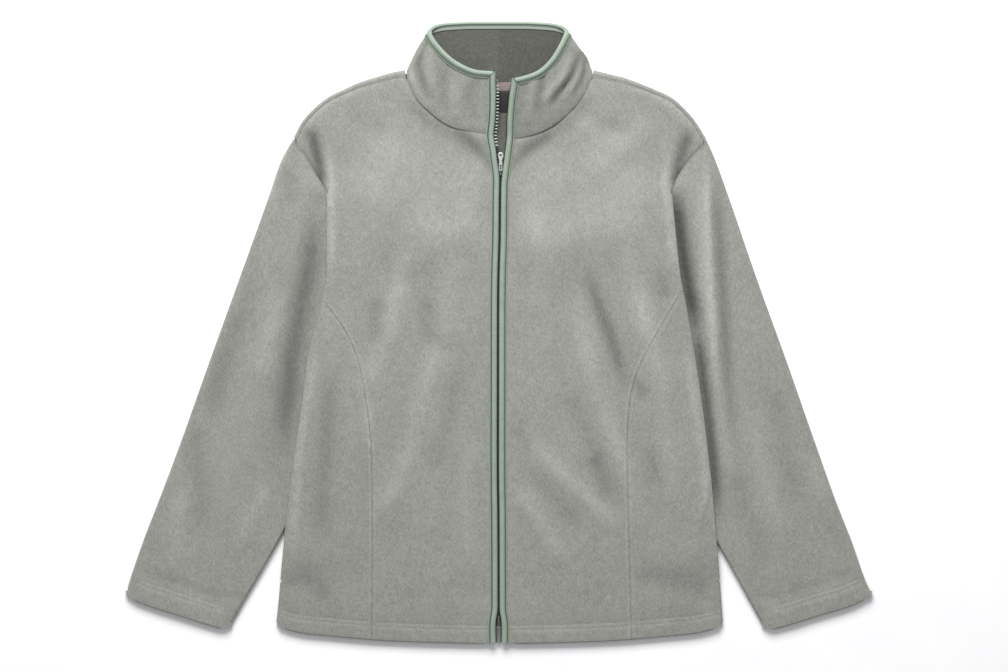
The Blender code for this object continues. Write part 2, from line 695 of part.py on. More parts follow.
def collar_feet(side):
    """The collar's foot from the zip to the middle of the back: rows of share, x, y, z."""
    neck = neck_line(side)
    neck = neck - across(neck) * SEAM_GAP
    neck[0][0] = cloth_edge(side, neck[0][1])
    shares = np.linspace(0, 1, len(neck))
    rows = [(share, x, y, front_height(side, x, y)) for share, (x, y) in zip(shares[:-1], neck[:-1])]
    top = front_height(side, *neck[-1])
    turn = path([(x, y, BACK + (top - BACK) * lift) for x, y, lift in COLLAR_TURN], TURN_STEP)
    rows += [(share, x, y, z) for share, (x, y, z) in zip(np.linspace(1, 2, len(turn)), turn)]
    back = back_neck_line()
    back = back - across(back) * -SEAM_GAP
    back = back[back[:, 0] < COLLAR_TURN[-1][0] - 4]
    shares = np.linspace(2.0, 3.0, len(back) + 1)[1:]
    return rows + [(share, x, y, BACK) for share, (x, y) in zip(shares, back)]


def collar_half(side, rows):
    """Half of the collar as ribs from foot to top, x outwards."""
    feet = np.array(collar_feet(side))
    top = path(COLLAR_TOP[side], 0.5)
    ribs = []
    for share, *foot in feet:
        foot = np.array(foot)
        end = np.array([np.interp(share, top[:, 0], top[:, k]) for k in (1, 2, 3)])
        bulge = COLLAR_BULGE * max(0.0, 1 - abs(share - 1.5) / 0.8)
        out = np.array([1.0, 0, 0])
        ribs.append([foot + (end - foot) * t + out * bulge * 4 * t * (1 - t)
                     for t in np.linspace(0, 1, rows)])
    return ribs


def collar_grid(rows):
    """The collar's ribs from the right front edge round the back to the left."""
    flip = np.array([-1, 1, 1])
    right = [[p * flip for p in rib] for rib in collar_half("right", rows)]
    return right + collar_half("left", rows)[::-1][1:]


def loft(name, rings, material, thickness=None, mirror=1):
    """Faces between rows of points that all have the same count."""
    points = [tuple(p) for ring in rings for p in ring]
    width = len(rings[0])
    faces = [(i * width + k, (i + 1) * width + k, (i + 1) * width + k + 1, i * width + k + 1)
             for i in range(len(rings) - 1) for k in range(width - 1)]
    return object_from(name, points, faces, mirror, material, thickness)


def make_collar():
    return loft("collar", collar_grid(4), "fleece", CLOTH)


def frames(line, outwards):
    """At each point of a line: the point, the way out of the cloth and the cloth's normal."""
    line = np.array(line)
    way = np.gradient(line, axis=0)
    way /= np.linalg.norm(way, axis=1)[:, None]
    rows = []
    for p, t, o in zip(line, way, outwards):
        o = o - t * np.dot(o, t)
        o = o / np.linalg.norm(o)
        rows.append((p, t, o, np.cross(o, t)))
    return rows


def binding_profile(top, under):
    """A binding folded over a cloth edge: distance past the edge, and above the cloth."""
    h = BINDING_MIDDLE
    round_edge = [(h * math.sin(a), h * math.cos(a))
                  for a in (math.pi * k / HALF_TURN_FACETS for k in range(HALF_TURN_FACETS + 1))]
    return [(-top, h), (-top / 2, h)] + round_edge + [(-under, -h)]


def front_edge(side, top, bottom):
    """The edge of the front and its collar from top to bottom, with heights, x outwards."""
    rows = []
    foot, end = collar_half(side, 2)[0]
    above = np.linspace(top, foot[1], round((top - foot[1]) / TRIM_STEP) + 1)
    below = np.linspace(foot[1], bottom, round((foot[1] - bottom) / TRIM_STEP) + 1)
    for y in np.concatenate([above, below[1:]]):
        z = front_height(side, 0.0, y)
        if y > foot[1]:
            z = foot[2] + (end[2] - foot[2]) * (y - foot[1]) / (end[1] - foot[1])
        rows.append((cloth_edge(side, y), y, z))
    return np.array(rows)


def collar_top_y(side):
    return COLLAR_TOP[side][0][2]


def make_front_binding(side):
    """The binding folded over one front edge, mitred at the collar's top corner."""
    line = front_edge(side, collar_top_y(side) + BINDING_MIDDLE, HEM[0][1] + HEM_RADIUS)
    profile = binding_profile(BINDING_WIDTH, BINDING_UNDER)
    rings = []
    for number, (p, t, o, n) in enumerate(frames(line, [OUTWARDS] * len(line))):
        cut = 1.0 if number == 0 else 0.0
        rings.append([p + o * d + n * h + t * cut * front_mitre(d) for d, h in profile])
    return loft("binding_front_" + side, rings, "binding", BINDING, SIDES[side])


def grid_normals(grid):
    """Unit normals of a grid of points, facing out of the collar's right side."""
    along = np.gradient(grid, axis=0)
    down = np.gradient(grid, axis=1)
    normal = np.cross(down, along)
    return normal / np.linalg.norm(normal, axis=2)[:, :, None]


def make_collar_binding():
    """The binding over the collar's top edge, made from the collar's own points."""
    grid = np.array(collar_grid(4))
    tops = grid[:, -1]
    ribs = tops - grid[:, -2]
    ribs /= np.linalg.norm(ribs, axis=1)[:, None]
    profile = binding_profile(COLLAR_BINDING_WIDTH, BINDING_UNDER)
    rows = frames(tops, ribs)
    slant = np.array([1 / max(0.6, float(np.dot(rib, row[2]))) for rib, row in zip(ribs, rows)])
    rings = [[None] * len(profile) for _ in rows]
    for k, (d, h) in enumerate(profile):
        inside = max(0.0, -d)
        line = tops - ribs * (slant * inside)[:, None]
        deeper = line - ribs * 2.0
        normal = grid_normals(np.stack([deeper, line], axis=1))[:, 1]
        for i, (p, t, o, _) in enumerate(rows):
            end = {0: 1, len(rows) - 1: -1}.get(i, 0)
            rings[i][k] = line[i] + o * max(0.0, d) + normal[i] * h + t * end * mitre(d)
    return loft("binding_collar", rings, "binding", BINDING)


def front_mitre(d):
    """How far the front binding's top end is cut back, by distance past the cloth's edge."""
    return MITRE_GAP - d if d < 0 else 0.0


def mitre(d):
    """How far the collar binding's end is cut back to clear the front binding."""
    return MITRE_GAP + max(0.0, -d)


def make_zip_tape(side):
    """One half of the zip's tape, under the front's edge."""
    line = front_edge(side, collar_top_y(side) - TAPE_SHORT, TAPE_BOTTOM)
    inner = RIM_TO_CLOTH + TAPE_BEYOND_RIM
    rings = [[p + o * d - n * TAPE_MIDDLE for d in (inner, inner - TAPE_WIDTH / 2, inner - TAPE_WIDTH)]
             for p, _, o, n in frames(line, [OUTWARDS] * len(line))]
    return loft("zip_tape_" + side, rings, "tape", TAPE, SIDES[side])


def slider_level():
    """Height of the middle of the zip's tape at the slider."""
    return front_height("left", 0.0, HINGE_Y) - TAPE_MIDDLE


def hinge_height():
    """Height of the pull's hinge, clear above the slider's top plate."""
    return slider_level() + TAPE_SPACE + PLATE + CROSSBAR_RADIUS + HINGE_CLEAR


def block(corners_low, corners_high, z_low, z_high):
    """A bmesh prism between a lower and a higher outline of like count."""
    form = bmesh.new()
    low = [form.verts.new((x, y, z_low)) for x, y in corners_low]
    high = [form.verts.new((x, y, z_high)) for x, y in corners_high]
    form.faces.new(low[::-1])
    form.faces.new(high)
    count = len(low)
    for i in range(count):
        form.faces.new((low[i], low[(i + 1) % count], high[(i + 1) % count], high[i]))
    bmesh.ops.scale(form, vec=(MM, MM, MM), verts=form.verts)
    bmesh.ops.recalc_face_normals(form, faces=form.faces)
    return form


def circle(radius, sides):
    """Points round a circle about the origin."""
    return [(radius * math.cos(a), radius * math.sin(a))
            for a in (math.tau * k / sides for k in range(sides))]


def solid_object(name, form, material):
    mesh = bpy.data.meshes.new(name)
    form.to_mesh(mesh)
    form.free()
    piece = bpy.data.objects.new(name, mesh)
    bpy.context.scene.collection.objects.link(piece)
    mesh.materials.append(finish_of(material))
    return piece


def outline_box(x, y, width, length):
    """A rectangle by the middle and the height of its lower side."""
    low, high = x - width / 2, x + width / 2
    return [(low, y), (high, y), (high, y + length), (low, y + length)]


def boolean(piece, form, operation):
    """Joins or cuts a hidden helper made from this form."""
    helper = solid_object("helper", form, "metal")
    helper.hide_render = True
    helper.display_type = "WIRE"
    change = piece.modifiers.new(operation.title(), "BOOLEAN")
    change.operation = operation
    change.object = helper


def make_slider():
    """Two plates round the tape, a bridge between them and an arch that holds the pull."""
    middle = slider_level()
    top = middle + TAPE_SPACE
    low, high = SLIDER_Y, SLIDER_Y + SLIDER_LENGTH
    half, wide = SLIDER_MOUTH / 2, SLIDER_SHOULDER / 2
    right = [(half, low), (wide, high - SLIDER_NOSE), (half, high)]
    plate = [(SLIDER_X + x, y) for x, y in right] + [(SLIDER_X - x, y) for x, y in right[::-1]]
    piece = solid_object("zip_slider", block(plate, plate, top, top + PLATE), "slider")
    under = outline_box(SLIDER_X, low, LOWER_PLATE, SLIDER_LENGTH)
    width, length = BRIDGE
    post = outline_box(SLIDER_X, high - length - BOX_BEVEL, width, length)
    width, length = ARCH
    start = HINGE_Y - length / 2
    roof = outline_box(SLIDER_X, start, width, length)
    rise = top + PLATE + ARCH_RISE
    parts = [(under, middle - TAPE_SPACE - PLATE, middle - TAPE_SPACE),
             (post, middle - TAPE_SPACE - PLATE / 2, top + PLATE / 2),
             (roof, rise - ARCH_THICK, rise)]
    for foot_y in (start, start + length - ARCH_FOOT):
        foot = outline_box(SLIDER_X, foot_y, width, ARCH_FOOT)
        parts.append((foot, top + PLATE / 2, rise - ARCH_THICK / 2))
    for outline, below, above in parts:
        boolean(piece, block(outline, outline, below, above), "UNION")


def make_pull():
    """The pull tab: a window for the arch at its hinge end and an eye at its far end."""
    z = hinge_height()
    left = [(SLIDER_X + half, HINGE_Y + y) for y, half in PULL_WIDTHS]
    right = [(SLIDER_X - half, HINGE_Y + y) for y, half in PULL_WIDTHS[::-1]]
    outline = left + right
    low, high = z - PULL_THICK / 2, z + PULL_THICK / 2
    piece = solid_object("zip_pull", block(outline, outline, low, high), "metal")
    width, length = PULL_WINDOW
    window = outline_box(SLIDER_X, HINGE_Y + CROSSBAR_RADIUS, width, length)
    boolean(piece, block(window, window, low - PULL_THICK, high + PULL_THICK), "DIFFERENCE")
    eye_y, eye_radius = PULL_EYE
    eye = [(SLIDER_X + x, HINGE_Y + eye_y + y) for x, y in circle(eye_radius, EYE_SIDES)]
    boolean(piece, block(eye, eye, low - PULL_THICK, high + PULL_THICK), "DIFFERENCE")


def make_zip_bottom():
    """The retainer box at the hem and the pin that stands in it."""
    width, length, thick = BOX_SIZE
    x = (rim_face["right"](BOX_Y) + rim_face["left"](BOX_Y)) / 2
    base = front_height("left", 0.0, BOX_Y) - TAPE_MIDDLE - SEAM_GAP
    low = HEM[0][1] + BOX_ABOVE_HEM
    outline = outline_box(x, low, width, length)
    bevelled = [(px + (BOX_BEVEL if px < x else -BOX_BEVEL), py) for px, py in outline]
    solid_object("zip_box", block(outline, bevelled, base, base + thick), "metal")
    diameter, reach = PIN
    centre = base + thick / 2
    foot = low + length + SEAM_GAP
    form = bmesh.new()
    ends = [[form.verts.new((x + u, y, centre + v)) for u, v in circle(diameter / 2, PIN_SIDES)]
            for y in (foot, foot + reach)]
    for end in ends:
        form.faces.new(end)
    for i in range(PIN_SIDES):
        form.faces.new((ends[0][i - 1], ends[0][i], ends[1][i], ends[1][i - 1]))
    bmesh.ops.scale(form, vec=(MM, MM, MM), verts=form.verts)
    bmesh.ops.recalc_face_normals(form, faces=form.faces)
    solid_object("zip_pin", form, "metal")


def make_top_stop(side):
    """The small metal stop above the last tooth of one tape."""
    width, length, thick = STOP_SIZE
    top = collar_top_y(side) - TAPE_SHORT - STOP_BELOW_TAPE_END
    line = front_edge(side, top, TAPE_BOTTOM)
    p, _, o, n = frames(line, [OUTWARDS] * len(line))[0]
    base = p + o * (RIM_TO_CLOTH + 2 * SEAM_GAP + width / 2) - n * (TAPE_MIDDLE - TAPE / 2 - SEAM_GAP)
    outline = outline_box(base[0] * SIDES[side], base[1] - length, width, length)
    solid_object("zip_top_stop_" + side, block(outline, outline, base[2], base[2] + thick), "metal")


def make_neck_tape():
    """The tape over the inside of the back neck seam."""
    height = BACK + CLOTH / 2 + SEAM_GAP + NECK_TAPE / 2
    half = path(BACK_NECK[1:], FINE_STEP)[:, :2]
    line = [(-x, y) for x, y in half[:-1]] + [(x, y) for x, y in half[::-1]]
    rings = [[(x, y + reach, height) for reach in NECK_TAPE_REACH] for x, y in line]
    loft("neck_tape", rings, "neck_tape", NECK_TAPE)


def make_label():
    """The bare woven label that hangs from the neck tape."""
    base = BACK + CLOTH / 2 + SEAM_GAP
    (x, top), (width, drop) = LABEL_PLACE, LABEL_SIZE
    outline = outline_box(x, top - drop, width, drop)
    solid_object("label", block(outline, outline, base, base + LABEL), "label")


def main():
    for item in list(bpy.data.objects):
        bpy.data.objects.remove(item)
    make_back()
    for side in SIDES:
        make_front(side)
        make_side_front(side)
        make_sleeve(side)
        make_front_binding(side)
        make_zip_tape(side)
        make_top_stop(side)
    make_collar()
    make_collar_binding()
    make_neck_tape()
    make_label()
    make_slider()
    make_pull()
    make_zip_bottom()


main()
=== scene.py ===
# %% [markdown]
# # A fleece zip jacket, laid flat
# A thin grey fleece jacket lies on its back on a pale table. Its zip is closed up to the
# chest and open above, where the stand-up collar rises a little off the table. The fixed
# frame gives the size and place of every part. Each cell below makes one kind of piece and
# prints what it made. Sizes are in millimetres until a mesh is written, in metres.

# %% Load the frame
import math

import bpy
import numpy as np
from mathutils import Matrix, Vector, noise
from mathutils.geometry import delaunay_2d_cdt
from mathutils.kdtree import KDTree


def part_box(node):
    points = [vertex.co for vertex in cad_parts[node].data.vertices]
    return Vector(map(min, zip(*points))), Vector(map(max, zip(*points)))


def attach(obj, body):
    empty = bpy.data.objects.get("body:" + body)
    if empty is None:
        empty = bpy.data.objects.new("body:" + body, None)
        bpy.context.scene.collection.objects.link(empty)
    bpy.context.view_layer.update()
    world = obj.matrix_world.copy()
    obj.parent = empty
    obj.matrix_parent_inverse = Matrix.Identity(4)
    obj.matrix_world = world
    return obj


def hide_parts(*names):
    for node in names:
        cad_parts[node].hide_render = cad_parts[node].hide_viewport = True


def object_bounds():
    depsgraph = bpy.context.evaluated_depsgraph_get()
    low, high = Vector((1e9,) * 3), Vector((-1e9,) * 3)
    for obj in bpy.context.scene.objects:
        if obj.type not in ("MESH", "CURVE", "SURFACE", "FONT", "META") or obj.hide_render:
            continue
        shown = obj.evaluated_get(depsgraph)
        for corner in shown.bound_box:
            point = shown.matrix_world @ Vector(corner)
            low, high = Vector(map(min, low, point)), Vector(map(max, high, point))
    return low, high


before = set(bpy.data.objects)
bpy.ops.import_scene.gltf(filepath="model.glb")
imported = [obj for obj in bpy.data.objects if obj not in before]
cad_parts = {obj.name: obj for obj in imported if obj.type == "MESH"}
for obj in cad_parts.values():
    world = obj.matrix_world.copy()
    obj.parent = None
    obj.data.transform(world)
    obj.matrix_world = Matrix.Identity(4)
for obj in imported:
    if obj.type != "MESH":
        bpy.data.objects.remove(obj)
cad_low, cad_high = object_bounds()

MM = 0.001
SIDES = {"right": -1, "left": 1}  # the wearer's; x is measured outwards and then mirrored
print("frame:", len(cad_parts), "nodes,", [round(v, 4) for v in (cad_high - cad_low)], "m")

# %% [markdown]
# ## Camera, table and light
# The jacket is seen from straight above, so its outline shows without slant. The light of a
# light tent comes from all round, with one wide soft lamp beyond the collar and a weak one
# overhead. The first makes the cloth paler towards the shoulders and leaves a faint shadow
# below hem and cuffs.

# %% Camera, table and light
CAMERA_PLACE = (0.0054, -0.0048, 2.856)
CAMERA_LENS = 85.0
TABLE_SIZE = 9.0

camera_data = bpy.data.cameras.new("camera")
camera_data.lens = CAMERA_LENS
camera_data.sensor_width = 36.0
camera = bpy.data.objects.new("camera", camera_data)
camera.location = CAMERA_PLACE
bpy.context.scene.collection.objects.link(camera)
bpy.context.scene.camera = camera
bpy.context.scene.view_settings.view_transform = "Standard"

bpy.ops.object.select_all(action="DESELECT")
bpy.ops.mesh.primitive_plane_add(size=TABLE_SIZE, location=(0, 0, cad_low.z))
table = bpy.context.object
table.name = "table"


def area_lamp(name, place, target, size, power, colour=(1, 1, 1)):
    """A square soft lamp at place that faces target, in metres and watts."""
    data = bpy.data.lights.new(name, "AREA")
    data.size = size
    data.energy = power
    data.color = colour
    lamp = bpy.data.objects.new(name, data)
    lamp.location = place
    lamp.rotation_euler = (Vector(target) - Vector(place)).to_track_quat("-Z", "Y").to_euler()
    bpy.context.scene.collection.objects.link(lamp)


area_lamp("lamp_top", (-0.25, 2.25, 1.9), (0, 0.0, 0), 1.5, 130)
area_lamp("lamp_over", (0.0, 0.3, 2.6), (0, 0, 0), 1.8, 8)
world = bpy.data.worlds.new("light_tent")
bpy.context.scene.world = world
world.use_nodes = True
world.node_tree.nodes["Background"].inputs["Color"].default_value = (0.97, 0.98, 1.0, 1)
world.node_tree.nodes["Background"].inputs["Strength"].default_value = 0.35
print("camera", tuple(round(v, 3) for v in camera.location), "lens", camera_data.lens)

# %% [markdown]
# ## How a material is put together
# Every finish is a Principled shader with a few pattern nodes. `add_node` makes one node,
# sets its values and joins its inputs to other nodes' outputs. Colours are written as sRGB
# hex values and turned to linear light by `linear`. A pattern's scale is one over its size
# in metres, so the sizes below can be read with a ruler.

# %% Helpers for materials
def linear(code):
    """An sRGB hex colour as linear red, green, blue and alpha."""
    parts = [int(code[i:i + 2], 16) / 255 for i in (1, 3, 5)]
    return tuple(p / 12.92 if p <= 0.04045 else ((p + 0.055) / 1.055) ** 2.4 for p in parts) + (1.0,)


def add_node(tree, kind, inputs=None, **settings):
    """Adds a node; an input given as a socket is linked, any other value is set."""
    new = tree.nodes.new(kind)
    for name, value in settings.items():
        setattr(new, name, value)
    for name, value in (inputs or {}).items():
        if isinstance(value, bpy.types.NodeSocket):
            tree.links.new(value, new.inputs[name])
        else:
            new.inputs[name].default_value = value
    return new


def new_material(name, roughness, metallic=0.0, **extra):
    """A material with its node tree and shader; extra sets more of the shader's sockets."""
    material = bpy.data.materials.new(name)
    material.use_nodes = True
    shader = material.node_tree.nodes["Principled BSDF"]
    shader.inputs["Roughness"].default_value = roughness
    shader.inputs["Metallic"].default_value = metallic
    for key, value in extra.items():
        shader.inputs[key.replace("_", " ")].default_value = value
    return material, material.node_tree, shader


def per(size_mm):
    """The scale of a pattern whose grains are this many millimetres."""
    return 1.0 / (size_mm * MM)


EVEN = (1.0, 1.0, 1.0)


def read_grains(tree, stretch, sizes_mm, detail):
    """Noise read at several grain sizes on object coordinates, as a list of factors."""
    place = add_node(tree, "ShaderNodeTexCoord").outputs["Object"]
    drawn = add_node(tree, "ShaderNodeMapping", {"Vector": place, "Scale": stretch}).outputs[0]
    return [add_node(tree, "ShaderNodeTexNoise", {
        "Vector": drawn, "Scale": per(size), "Detail": detail, "Roughness": 0.6}).outputs["Fac"]
        for size in sizes_mm]


def dress(tree, shader, base, tones, bumps):
    """Colours a surface between two shades, tones it by more factors and raises its grain."""
    factor, low, high, dark, light = base
    spread = add_node(tree, "ShaderNodeMapRange", {0: factor, 1: low, 2: high, 3: 0.0, 4: 1.0})
    colour = add_node(tree, "ShaderNodeMix", {
        0: spread.outputs[0], 6: linear(dark), 7: linear(light)}, data_type="RGBA").outputs[2]
    for factor, low, high, amount in tones:
        tone = add_node(tree, "ShaderNodeMapRange", {
            0: factor, 1: low, 2: high, 3: 1.0 - amount, 4: 1.0 + amount})
        colour = add_node(tree, "ShaderNodeVectorMath", {0: colour, 1: tone.outputs[0]},
                          operation="MULTIPLY").outputs[0]
    tree.links.new(colour, shader.inputs["Base Color"])
    inputs = {"Strength": 1.0}
    for factor, depth in bumps:
        inputs.update({"Height": factor, "Distance": depth * MM})
        inputs["Normal"] = add_node(tree, "ShaderNodeBump", inputs).outputs["Normal"]
    if bumps:
        tree.links.new(inputs["Normal"], shader.inputs["Normal"])


print("material helpers ready")

# %% [markdown]
# ## Brushed microfleece
# Fleece is knitted polyester whose face is brushed into a short nap. The nap clumps into
# tufts of one to three millimetres, so the colour and the bumps read noise at those sizes.
# The colour also reads an attribute that each sheet carries, which is painted light and
# shade: above 0 a painted highlight, pale along ridges, below 0 a painted shade, dark in
# troughs and where one part shades another. A little sheen stands for the fibre tips that
# catch the light at the edges. There is no gloss.

# %% Brushed microfleece, and a darker copy painted as shade inside the jacket
NAP_GRAIN = 1.6     # one tuft, drawn as coarse as it must be to show
NAP_CLUMP = 5.5
NAP_PATCH = 34.0
PAINTED_LIGHT_STRENGTH = 0.17     # how much paler or darker each step of painted light and shade makes the cloth


def brushed(name, dark, light, sheen):
    material, tree, shader = new_material(
        name, 0.96, Sheen_Weight=sheen, Sheen_Roughness=0.55, Specular_IOR_Level=0.12)
    tufts, clumps, patches = read_grains(tree, (1.0, 0.5, 1.0), (NAP_GRAIN, NAP_CLUMP, NAP_PATCH), 3.0)
    # Painted light and shade: the sheet's attribute pales the colour for highlights and darkens it for shade.
    painted_light = add_node(tree, "ShaderNodeAttribute", attribute_name="painted_light").outputs["Fac"]
    dress(tree, shader, (tufts, 0.28, 0.74, dark, light),
          [(clumps, 0.30, 0.70, 0.060), (patches, 0.30, 0.70, 0.045), (painted_light, -5.0, 5.0, PAINTED_LIGHT_STRENGTH * 5)],
          [(patches, 1.2), (clumps, 0.6), (tufts, 0.30)])
    print(name, len(tree.nodes), "nodes")
    return material


fleece = brushed("brushed_microfleece", "#7c7d77", "#969791", 0.18)
# Painted shade: a darker copy of the fleece, for the inside of the collar and of the back where the open neck
# shows them.
fleece_painted_shade = brushed("microfleece_painted_shade", "#4f4f4b", "#666660", 0.04)

# %% [markdown]
# ## Other cloths
# The edges are bound in a smooth stretch tape of sage green with fine ribs across it. Along
# the needle's ditch it is pressed thin, and its colour there is darkened as painted shade. The
# zip's tape is a darker twill, the neck tape a pinkish herringbone and the label a charcoal
# satin with no words, darkened near to black as painted shade. Each follows its sheet's own
# UV map, which measures the cloth in metres: U along it and V across it.

# %% Binding, tapes, label and thread
def wave_per(size_mm):
    """The scale of a wave texture whose bands are this far apart."""
    return math.tau / 20 / (size_mm * MM)


def woven(name, dark, light, spacing, depth, roughness, sheen, direction="X"):
    """A ribbed or woven cloth: threads at this spacing in mm, raised by depth."""
    material, tree, shader = new_material(
        name, roughness, Sheen_Weight=sheen, Sheen_Roughness=0.4, Specular_IOR_Level=0.25)
    run = add_node(tree, "ShaderNodeTexCoord").outputs["UV"]
    ribs = add_node(tree, "ShaderNodeTexWave", {
        "Vector": run, "Scale": wave_per(spacing), "Distortion": 0.8, "Detail": 1.0,
        "Detail Scale": 2.0}, bands_direction=direction).outputs["Fac"]
    fibres = read_grains(tree, EVEN, [0.9], 3.0)[0]
    wear = read_grains(tree, EVEN, [14.0], 2.0)[0]
    dress(tree, shader, (ribs, 0.0, 1.0, dark, light), [(wear, 0.3, 0.7, 0.06)],
          [(ribs, depth), (fibres, depth * 0.6)])
    print(name, "ribs every", spacing, "mm")
    return material


def paint_ditch_shade(material, middle, half_width, dark, flange):
    """Paints shade along both ditches of a bound edge, and greys the flat ends past them."""
    tree = material.node_tree
    shader = tree.nodes["Principled BSDF"]
    cloth = shader.inputs["Base Color"].links[0].from_socket
    run = add_node(tree, "ShaderNodeTexCoord").outputs["UV"]
    first = add_node(tree, "ShaderNodeSeparateXYZ", {0: run}).outputs["Y"]
    last = add_node(tree, "ShaderNodeMath", {0: BINDING_RUN * MM, 1: first}, operation="SUBTRACT").outputs[0]
    over = add_node(tree, "ShaderNodeMath", {0: first, 1: last}, operation="MINIMUM").outputs[0]
    off = add_node(tree, "ShaderNodeMath", {0: over, 1: middle * MM}, operation="SUBTRACT").outputs[0]
    gap = add_node(tree, "ShaderNodeMath", {0: off}, operation="ABSOLUTE").outputs[0]
    ditch_shade = add_node(tree, "ShaderNodeMapRange", {
        0: gap, 1: half_width * 0.35 * MM, 2: half_width * MM, 3: 1.0, 4: 0.0}).outputs[0]
    end = add_node(tree, "ShaderNodeMapRange", {
        0: over, 1: (middle - half_width) * MM, 2: middle * MM, 3: 1.0, 4: 0.0}).outputs[0]
    flat = add_node(tree, "ShaderNodeMix", {0: end, 6: cloth, 7: linear(flange)}, data_type="RGBA")
    mixed = add_node(tree, "ShaderNodeMix", {
        0: ditch_shade, 6: flat.outputs[2], 7: linear(dark)}, data_type="RGBA")
    tree.links.new(mixed.outputs[2], shader.inputs["Base Color"])


# The bound edge cut across: distance past the cloth's edge, height over the cloth's middle
BINDING_PROFILE = [
    (-6.7, 1.35), (-6.0, 1.6), (-5.3, 1.58), (-4.6, 1.38), (-4.0, 1.25), (-3.4, 1.3), (-2.9, 1.75),
    (-2.3, 2.25), (-1.5, 2.5), (-0.6, 2.42), (0.4, 2.05), (1.1, 1.5), (1.6, 0.8), (1.8, 0.0),
    (1.6, -0.8), (1.1, -1.4), (0.4, -1.75), (-0.6, -1.95), (-1.5, -2.0), (-2.3, -1.9), (-2.9, -1.6),
    (-3.4, -1.3), (-4.0, -1.25), (-4.6, -1.38), (-5.3, -1.5), (-6.0, -1.5), (-6.7, -1.35)]
BINDING_RUN = sum(math.dist(a, b) for a, b in zip(BINDING_PROFILE, BINDING_PROFILE[1:]))
BINDING_DITCH = (2.7, 1.7)       # from the tape's flat end to the ditch, and half its width
binding_cloth = woven("stretch_binding", "#859285", "#929f91", 2.2, 0.10, 0.7, 0.08)
# Painted shade: the binding is coloured dark along its ditches.
paint_ditch_shade(binding_cloth, *BINDING_DITCH, "#455244", "#858d83")
tape_cloth = woven("twill_zip_tape", "#1c211e", "#272d29", 1.6, 0.12, 0.85, 0.03, "DIAGONAL")
neck_tape_cloth = woven("herringbone_neck_tape", "#756a69", "#8d807e", 1.8, 0.15, 0.85, 0.05, "DIAGONAL")
# The label's charcoal is darkened near to black as painted shade from the collar.
label_cloth = woven("satin_label", "#131514", "#1d1f1e", 1.2, 0.06, 0.5, 0.05, "Y")
fleece_thread = woven("fleece_thread", "#a3a49d", "#bbbcb4", 0.6, 0.05, 0.6, 0.1)
binding_thread = woven("binding_thread", "#526357", "#64766a", 0.6, 0.05, 0.6, 0.05)

# %% [markdown]
# ## Metal and moulded plastic
# The pull, box, pin and stops are zinc castings with a satin nickel plate, tumbled before
# plating, so their shine is broken by a faint unevenness. The slider under the pull has a
# dark blue-grey enamel. The teeth are moulded from a dark hard plastic. The lower teeth are
# coloured darker still as painted shade, and the teeth well above the slider pale as a painted highlight.

# %% Metal and moulded plastic
def hard_finish(name, dark, light, grain, depth, roughness, metallic, **extra):
    """A smooth hard finish with a slight unevenness of this grain in its colour and bump."""
    material, tree, shader = new_material(name, roughness, metallic, **extra)
    uneven = read_grains(tree, EVEN, [grain], 2.0)[0]
    dress(tree, shader, (uneven, 0.35, 0.65, dark, light), [], [(uneven, depth)])
    dull = add_node(tree, "ShaderNodeMapRange", {
        0: uneven, 1: 0.3, 2: 0.7, 3: roughness - 0.06, 4: roughness + 0.08})
    tree.links.new(dull.outputs[0], shader.inputs["Roughness"])
    print(name, "roughness about", roughness)
    return material


nickel = hard_finish("satin_nickel_plate", "#9fa3a1", "#c2c6c4", 1.2, 0.02, 0.36, 0.6)
gunmetal = hard_finish("gunmetal_plate", "#5a605d", "#757b78", 1.4, 0.02, 0.45, 0.3)
enamel = hard_finish("blue_grey_enamel", "#39424c", "#4b5560", 1.5, 0.02, 0.32, 0.0, Coat_Weight=0.4)
# Painted shade and highlight: two copies of the tooth plastic, a darker one for the lower teeth and a pale
# one for the teeth well above the slider.
dark_and_shaded_tooth_plastic = hard_finish("dark_tooth_plastic_and_painted_shade", "#191d1b", "#272d29", 2.0, 0.02, 0.34, 0.0)
highlit_tooth_plastic = hard_finish("tooth_plastic_painted_highlight", "#9ba39d", "#bcc2bd", 2.0, 0.02, 0.30, 0.0)
board, tree, shader = new_material("pale_board", 0.9, Specular_IOR_Level=0.1)
fibre = read_grains(tree, EVEN, [60.0], 3.0)[0]
dress(tree, shader, (fibre, 0.3, 0.7, "#f4f4f5", "#f7f7f7"), [], [])
table.data.materials.append(board)

# %% [markdown]
# ## The cut of the jacket
# These are the same driving sizes that the frame was built from: heights of the layers where
# the body's side folds over the sleeve, and the outlines of seams, folds and edges. An
# outline has a point only where its curve needs one; `path` runs smoothly through them.

# %% Sizes of the cut
CLOTH = 1.8
SEAM_GAP = 0.3
TAPE = 0.8
BINDING = 0.8
NECK_TAPE = 0.7
BACK = CLOTH / 2
RETURN_RADIUS = 1.2
LAYER = 2.2
BACK_RETURN = BACK + 2 * RETURN_RADIUS
SLEEVE_BACK_RAISED = BACK_RETURN + LAYER
SLEEVE_FRONT_RAISED = SLEEVE_BACK_RAISED + LAYER
FRONT_RAISED = SLEEVE_FRONT_RAISED + LAYER + 2 * RETURN_RADIUS
HEM_TURN = 23.0
CUFF_TURN = 27.0
HEM_RADIUS = 1.05
FINE = 4.0          # spacing of the surface's points where it shows
COARSE = 9.0        # and where it doesn't
HALF_TURN_FACETS = 8

